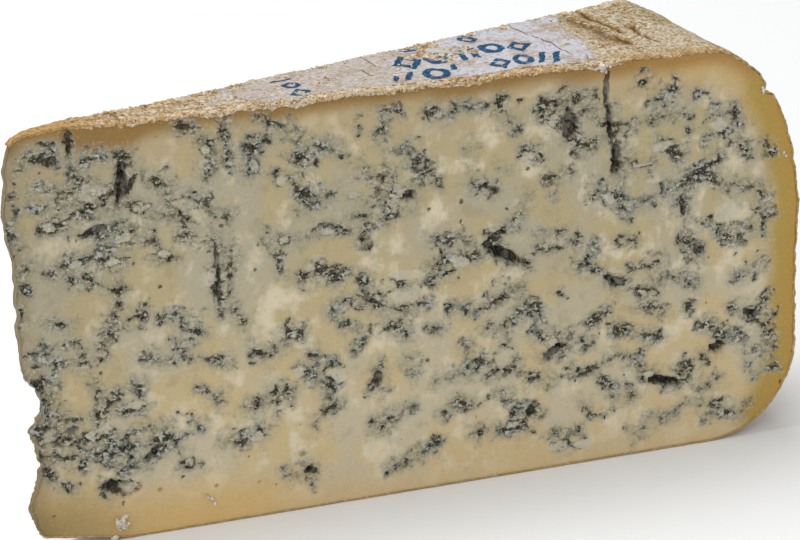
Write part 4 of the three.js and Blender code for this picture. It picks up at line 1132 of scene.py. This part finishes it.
def label_sheet():
    """The paper's closed sheet, before it takes the rind's form."""
    draw = np.random.default_rng(5)
    ends, sides = np.linspace(0, 1, 200), np.linspace(0, 1, 900)
    end_long, side_long = 40, 90
    torn_in = LABEL_FROM + 2.5 * ragged(ends * end_long, 8, draw)
    torn_out = LABEL_TO + 0.5 * ragged(ends * end_long, 6, draw) + LABEL_SLANT * ends
    frayed = NEAR_INSET + 0.9 * ragged(sides * side_long, 3.4, draw)
    trimmed = FAR_INSET + 0.3 * ragged(sides * side_long, 5, draw)

    def place(shares):
        """How far out, how far round and how high the sheet is at these shares."""
        u, layer, v = shares.T
        out = np.interp(v, ends, torn_in) * (1 - u) + np.interp(v, ends, torn_out) * u
        near_inset = np.interp(u, sides, frayed) + np.clip((out - 92) / 12, 0, 1)
        near_turn, far_turn = near_inset / out - HALF_ANGLE, HALF_ANGLE - np.interp(u, sides, trimmed) / out
        turn = near_turn * (1 - v) + far_turn * v
        dip = needle_dip(out) * np.clip(-turn / HALF_ANGLE, 0, 1)
        return out, turn, WHEEL_HEIGHT + LABEL_LIFT - dip + (layer - 1) * PAPER_THICK

    mesh, shares = block("label", LABEL_STEPS, lambda shares: wheel_point(*place(shares)))
    # The block's second way is up here, which turns it inside out.
    mesh.flip_normals()
    out, turn, _ = place(shares)
    keep(mesh, rolled=np.stack([out, out * turn, 0 * out], -1) * MM)
    return mesh


def paper_worn(rolled):
    """How far the paper has worn away: 0 where it is whole and 1 where the rind shows."""
    out, around, _ = in_mm(rolled)
    from_near = around + out * HALF_ANGLE
    to_end = out - from_near * (LABEL_SLANT / LABEL_END)
    # It is thin towards the thin end, round a scuff, at the near cut and at its outer end.
    thinning = out.above(62, 36) * 0.24 + out.above(100, 60) * 0.07
    thinning = thinning + (out.off(101) + around.off(6)).above(13, 5) * 0.14
    thinning = thinning + from_near.above(4.5, 0.5) * 0.14
    thinning = thinning + to_end.above(LABEL_TO - 2.5, LABEL_TO) * 0.13
    return (noise(rolled, 4, 4, 0.68) - 0.64 + thinning).above(-0.01, 0.03)


def label_shape():
    """Lays the sheet over the rind's relief, and sinks its creases and its worn places."""
    tree, given = shape_tree("label_shape", *RIND_HEIGHTS, "Worn depth")
    rolled = kept(tree, "rolled", place=True)
    height = rind_relief(rolled, given) - furrow_depth(rolled, PAPER_CREASES) * MM
    height = height - paper_worn(rolled) * given["Worn depth"]
    return end_tree(given, moved(given, add(tree, "ShaderNodeCombineXYZ", 0, 0, height)))


def print_mark(at_out, at_around, kind, out, around, wide, high, lean):
    """1 on one mark of the print and 0 off it."""
    height = (at_around - around) * (1 / high)
    across = ((at_out - out) * (1 / wide) - height * (lean * high / wide)).off()
    height = height.off()
    if kind == "bar":
        return across.most(height).above(1.06, 0.94)
    whole = across + height if kind == "lozenge" else (across * across + height * height).calc("SQRT")
    return whole.off(0.74).above(0.34, 0.24)


def label_finish():
    """Worn off-white paper with a faded blue print, the rind where it has worn through, and painted shade
    in its creases.
    """
    material, tree = shader("label")
    rolled = kept(tree, "rolled", place=True)
    out, around, _ = in_mm(rolled)
    wobble = rolled + (noise(rolled, 2.2, 3, 0.6, gives="Color") - 0.5) * (1.3 * MM)
    at_out, at_around, _ = in_mm(wobble)
    printed = reduce(Field.most, [print_mark(at_out, at_around, *mark) for mark in PRINT])
    rubbed = noise(rolled, 1.3, 4, 0.75).above(0.32, 0.44)
    fibres, stains = noise(rolled, 0.9, 3, 0.75), noise(rolled, 6, 3, 0.6)
    under, grains, _ = rind_colour(rolled, (around + out * HALF_ANGLE).above(3.5, 0))
    worn = paper_worn(rolled)
    fresh = mix(out.above(84, 104), (176, 166, 156), (185, 184, 191))
    colour = coats(
        mix(stains.above(0.35, 0.54), (164, 147, 130), fresh),
        (fibres.above(0.5, 0.66) * 0.8, (205, 200, 199)),
        (fibres.above(0.45, 0.33) * 0.8, (116, 100, 82)),
        (printed * rubbed * 0.97, mix(fibres.above(0.35, 0.65), (0, 44, 76), (4, 84, 120))),
        (worn, under),
        # Painted shade along the paper's creases.
        ((furrow_depth(rolled, PAPER_CREASES) * 14).least(0.85), (78, 42, 34)),
    )
    height = fibres * 0.6 + stains * 0.5 + grains * worn
    return finished(material, colour, height, 0.6, 0.3, shine=0.1)


label = grow("label_paper", label_sheet(), label_shape(), {
    **RIND_HEIGHTS, "Worn depth": 0.5 * MM, "Material": label_finish(),
})
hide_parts("label")
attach(label, "root")

# The crumbs: white bits that the knife left on the near face, in the top of a needle hole, and in
# the bite in the rim. Each is given by its place out, its height and its size.
CRUMBS = [
    (24.9, 3.9, 0.8), (24, 3, 0.6), (25.7, 3.2, 0.6), (24.3, 2.1, 0.55), (25.5, 4.7, 0.5),
    (23.9, 4.5, 0.35), (23.2, 0.6, 0.5), (42.2, 6.2, 0.45), (43.1, 5.4, 0.5), (43.8, 4.4, 0.35),
    (67.9, 5.8, 0.3), (97.7, 2.5, 0.45), (96.5, 3.1, 0.3), (161.6, 75.5, 0.35), (161.8, 74.9, 0.4),
    (161.7, 74.3, 0.3), (24.6, 3.4, 0.9), (25, 2.8, 0.7), (126.2, 84.3, 0.7), (166.6, 61, 0.4),
    (167.1, 60.4, 0.3), (127, 83.9, 0.6), (127.6, 84.4, 0.5), (126.6, 83.4, 0.4), (128.3, 84, 0.35),
    (127.4, 83, 0.3),
]


def crumb_spots():
    """A point on the near cut for each crumb."""
    out, up, size = np.array(CRUMBS).T
    spots = bpy.data.meshes.new("crumbs")
    spots.from_pydata(wheel_point(out, -HALF_ANGLE, up).tolist(), [], [])
    keep(spots, size=size)
    return spots


def crumb_shape():
    """Puts a lump on each point."""
    tree, given = shape_tree("crumb_shape", "Size", "Flatness")
    sizes = kept(tree, "size") * given["Size"]
    kinds = lump_kinds(tree, 3, 1.6)
    return end_tree(given, scatter(tree, given["Mesh"], kinds, sizes, given["Flatness"], 3.1, 31))


def crumb_finish():
    """Whitish crumbs with darker flecks."""
    material, tree = shader("crumbs")
    flecks = noise(add(tree, "ShaderNodeTexCoord", gives="Object"), 0.7, 3, 0.7)
    colour = mix(flecks.above(0.35, 0.6), (178, 162, 138), (216, 208, 196))
    return finished(material, colour, flecks, 0.6, 0.2, roughness=0.8, shine=0.5)


crumbs = grow("crumbs", crumb_spots(), crumb_shape(), {
    "Size": 0.9 * MM, "Flatness": 1.3, "Material": crumb_finish(),
})
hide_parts("cheese")
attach(crumbs, "root")
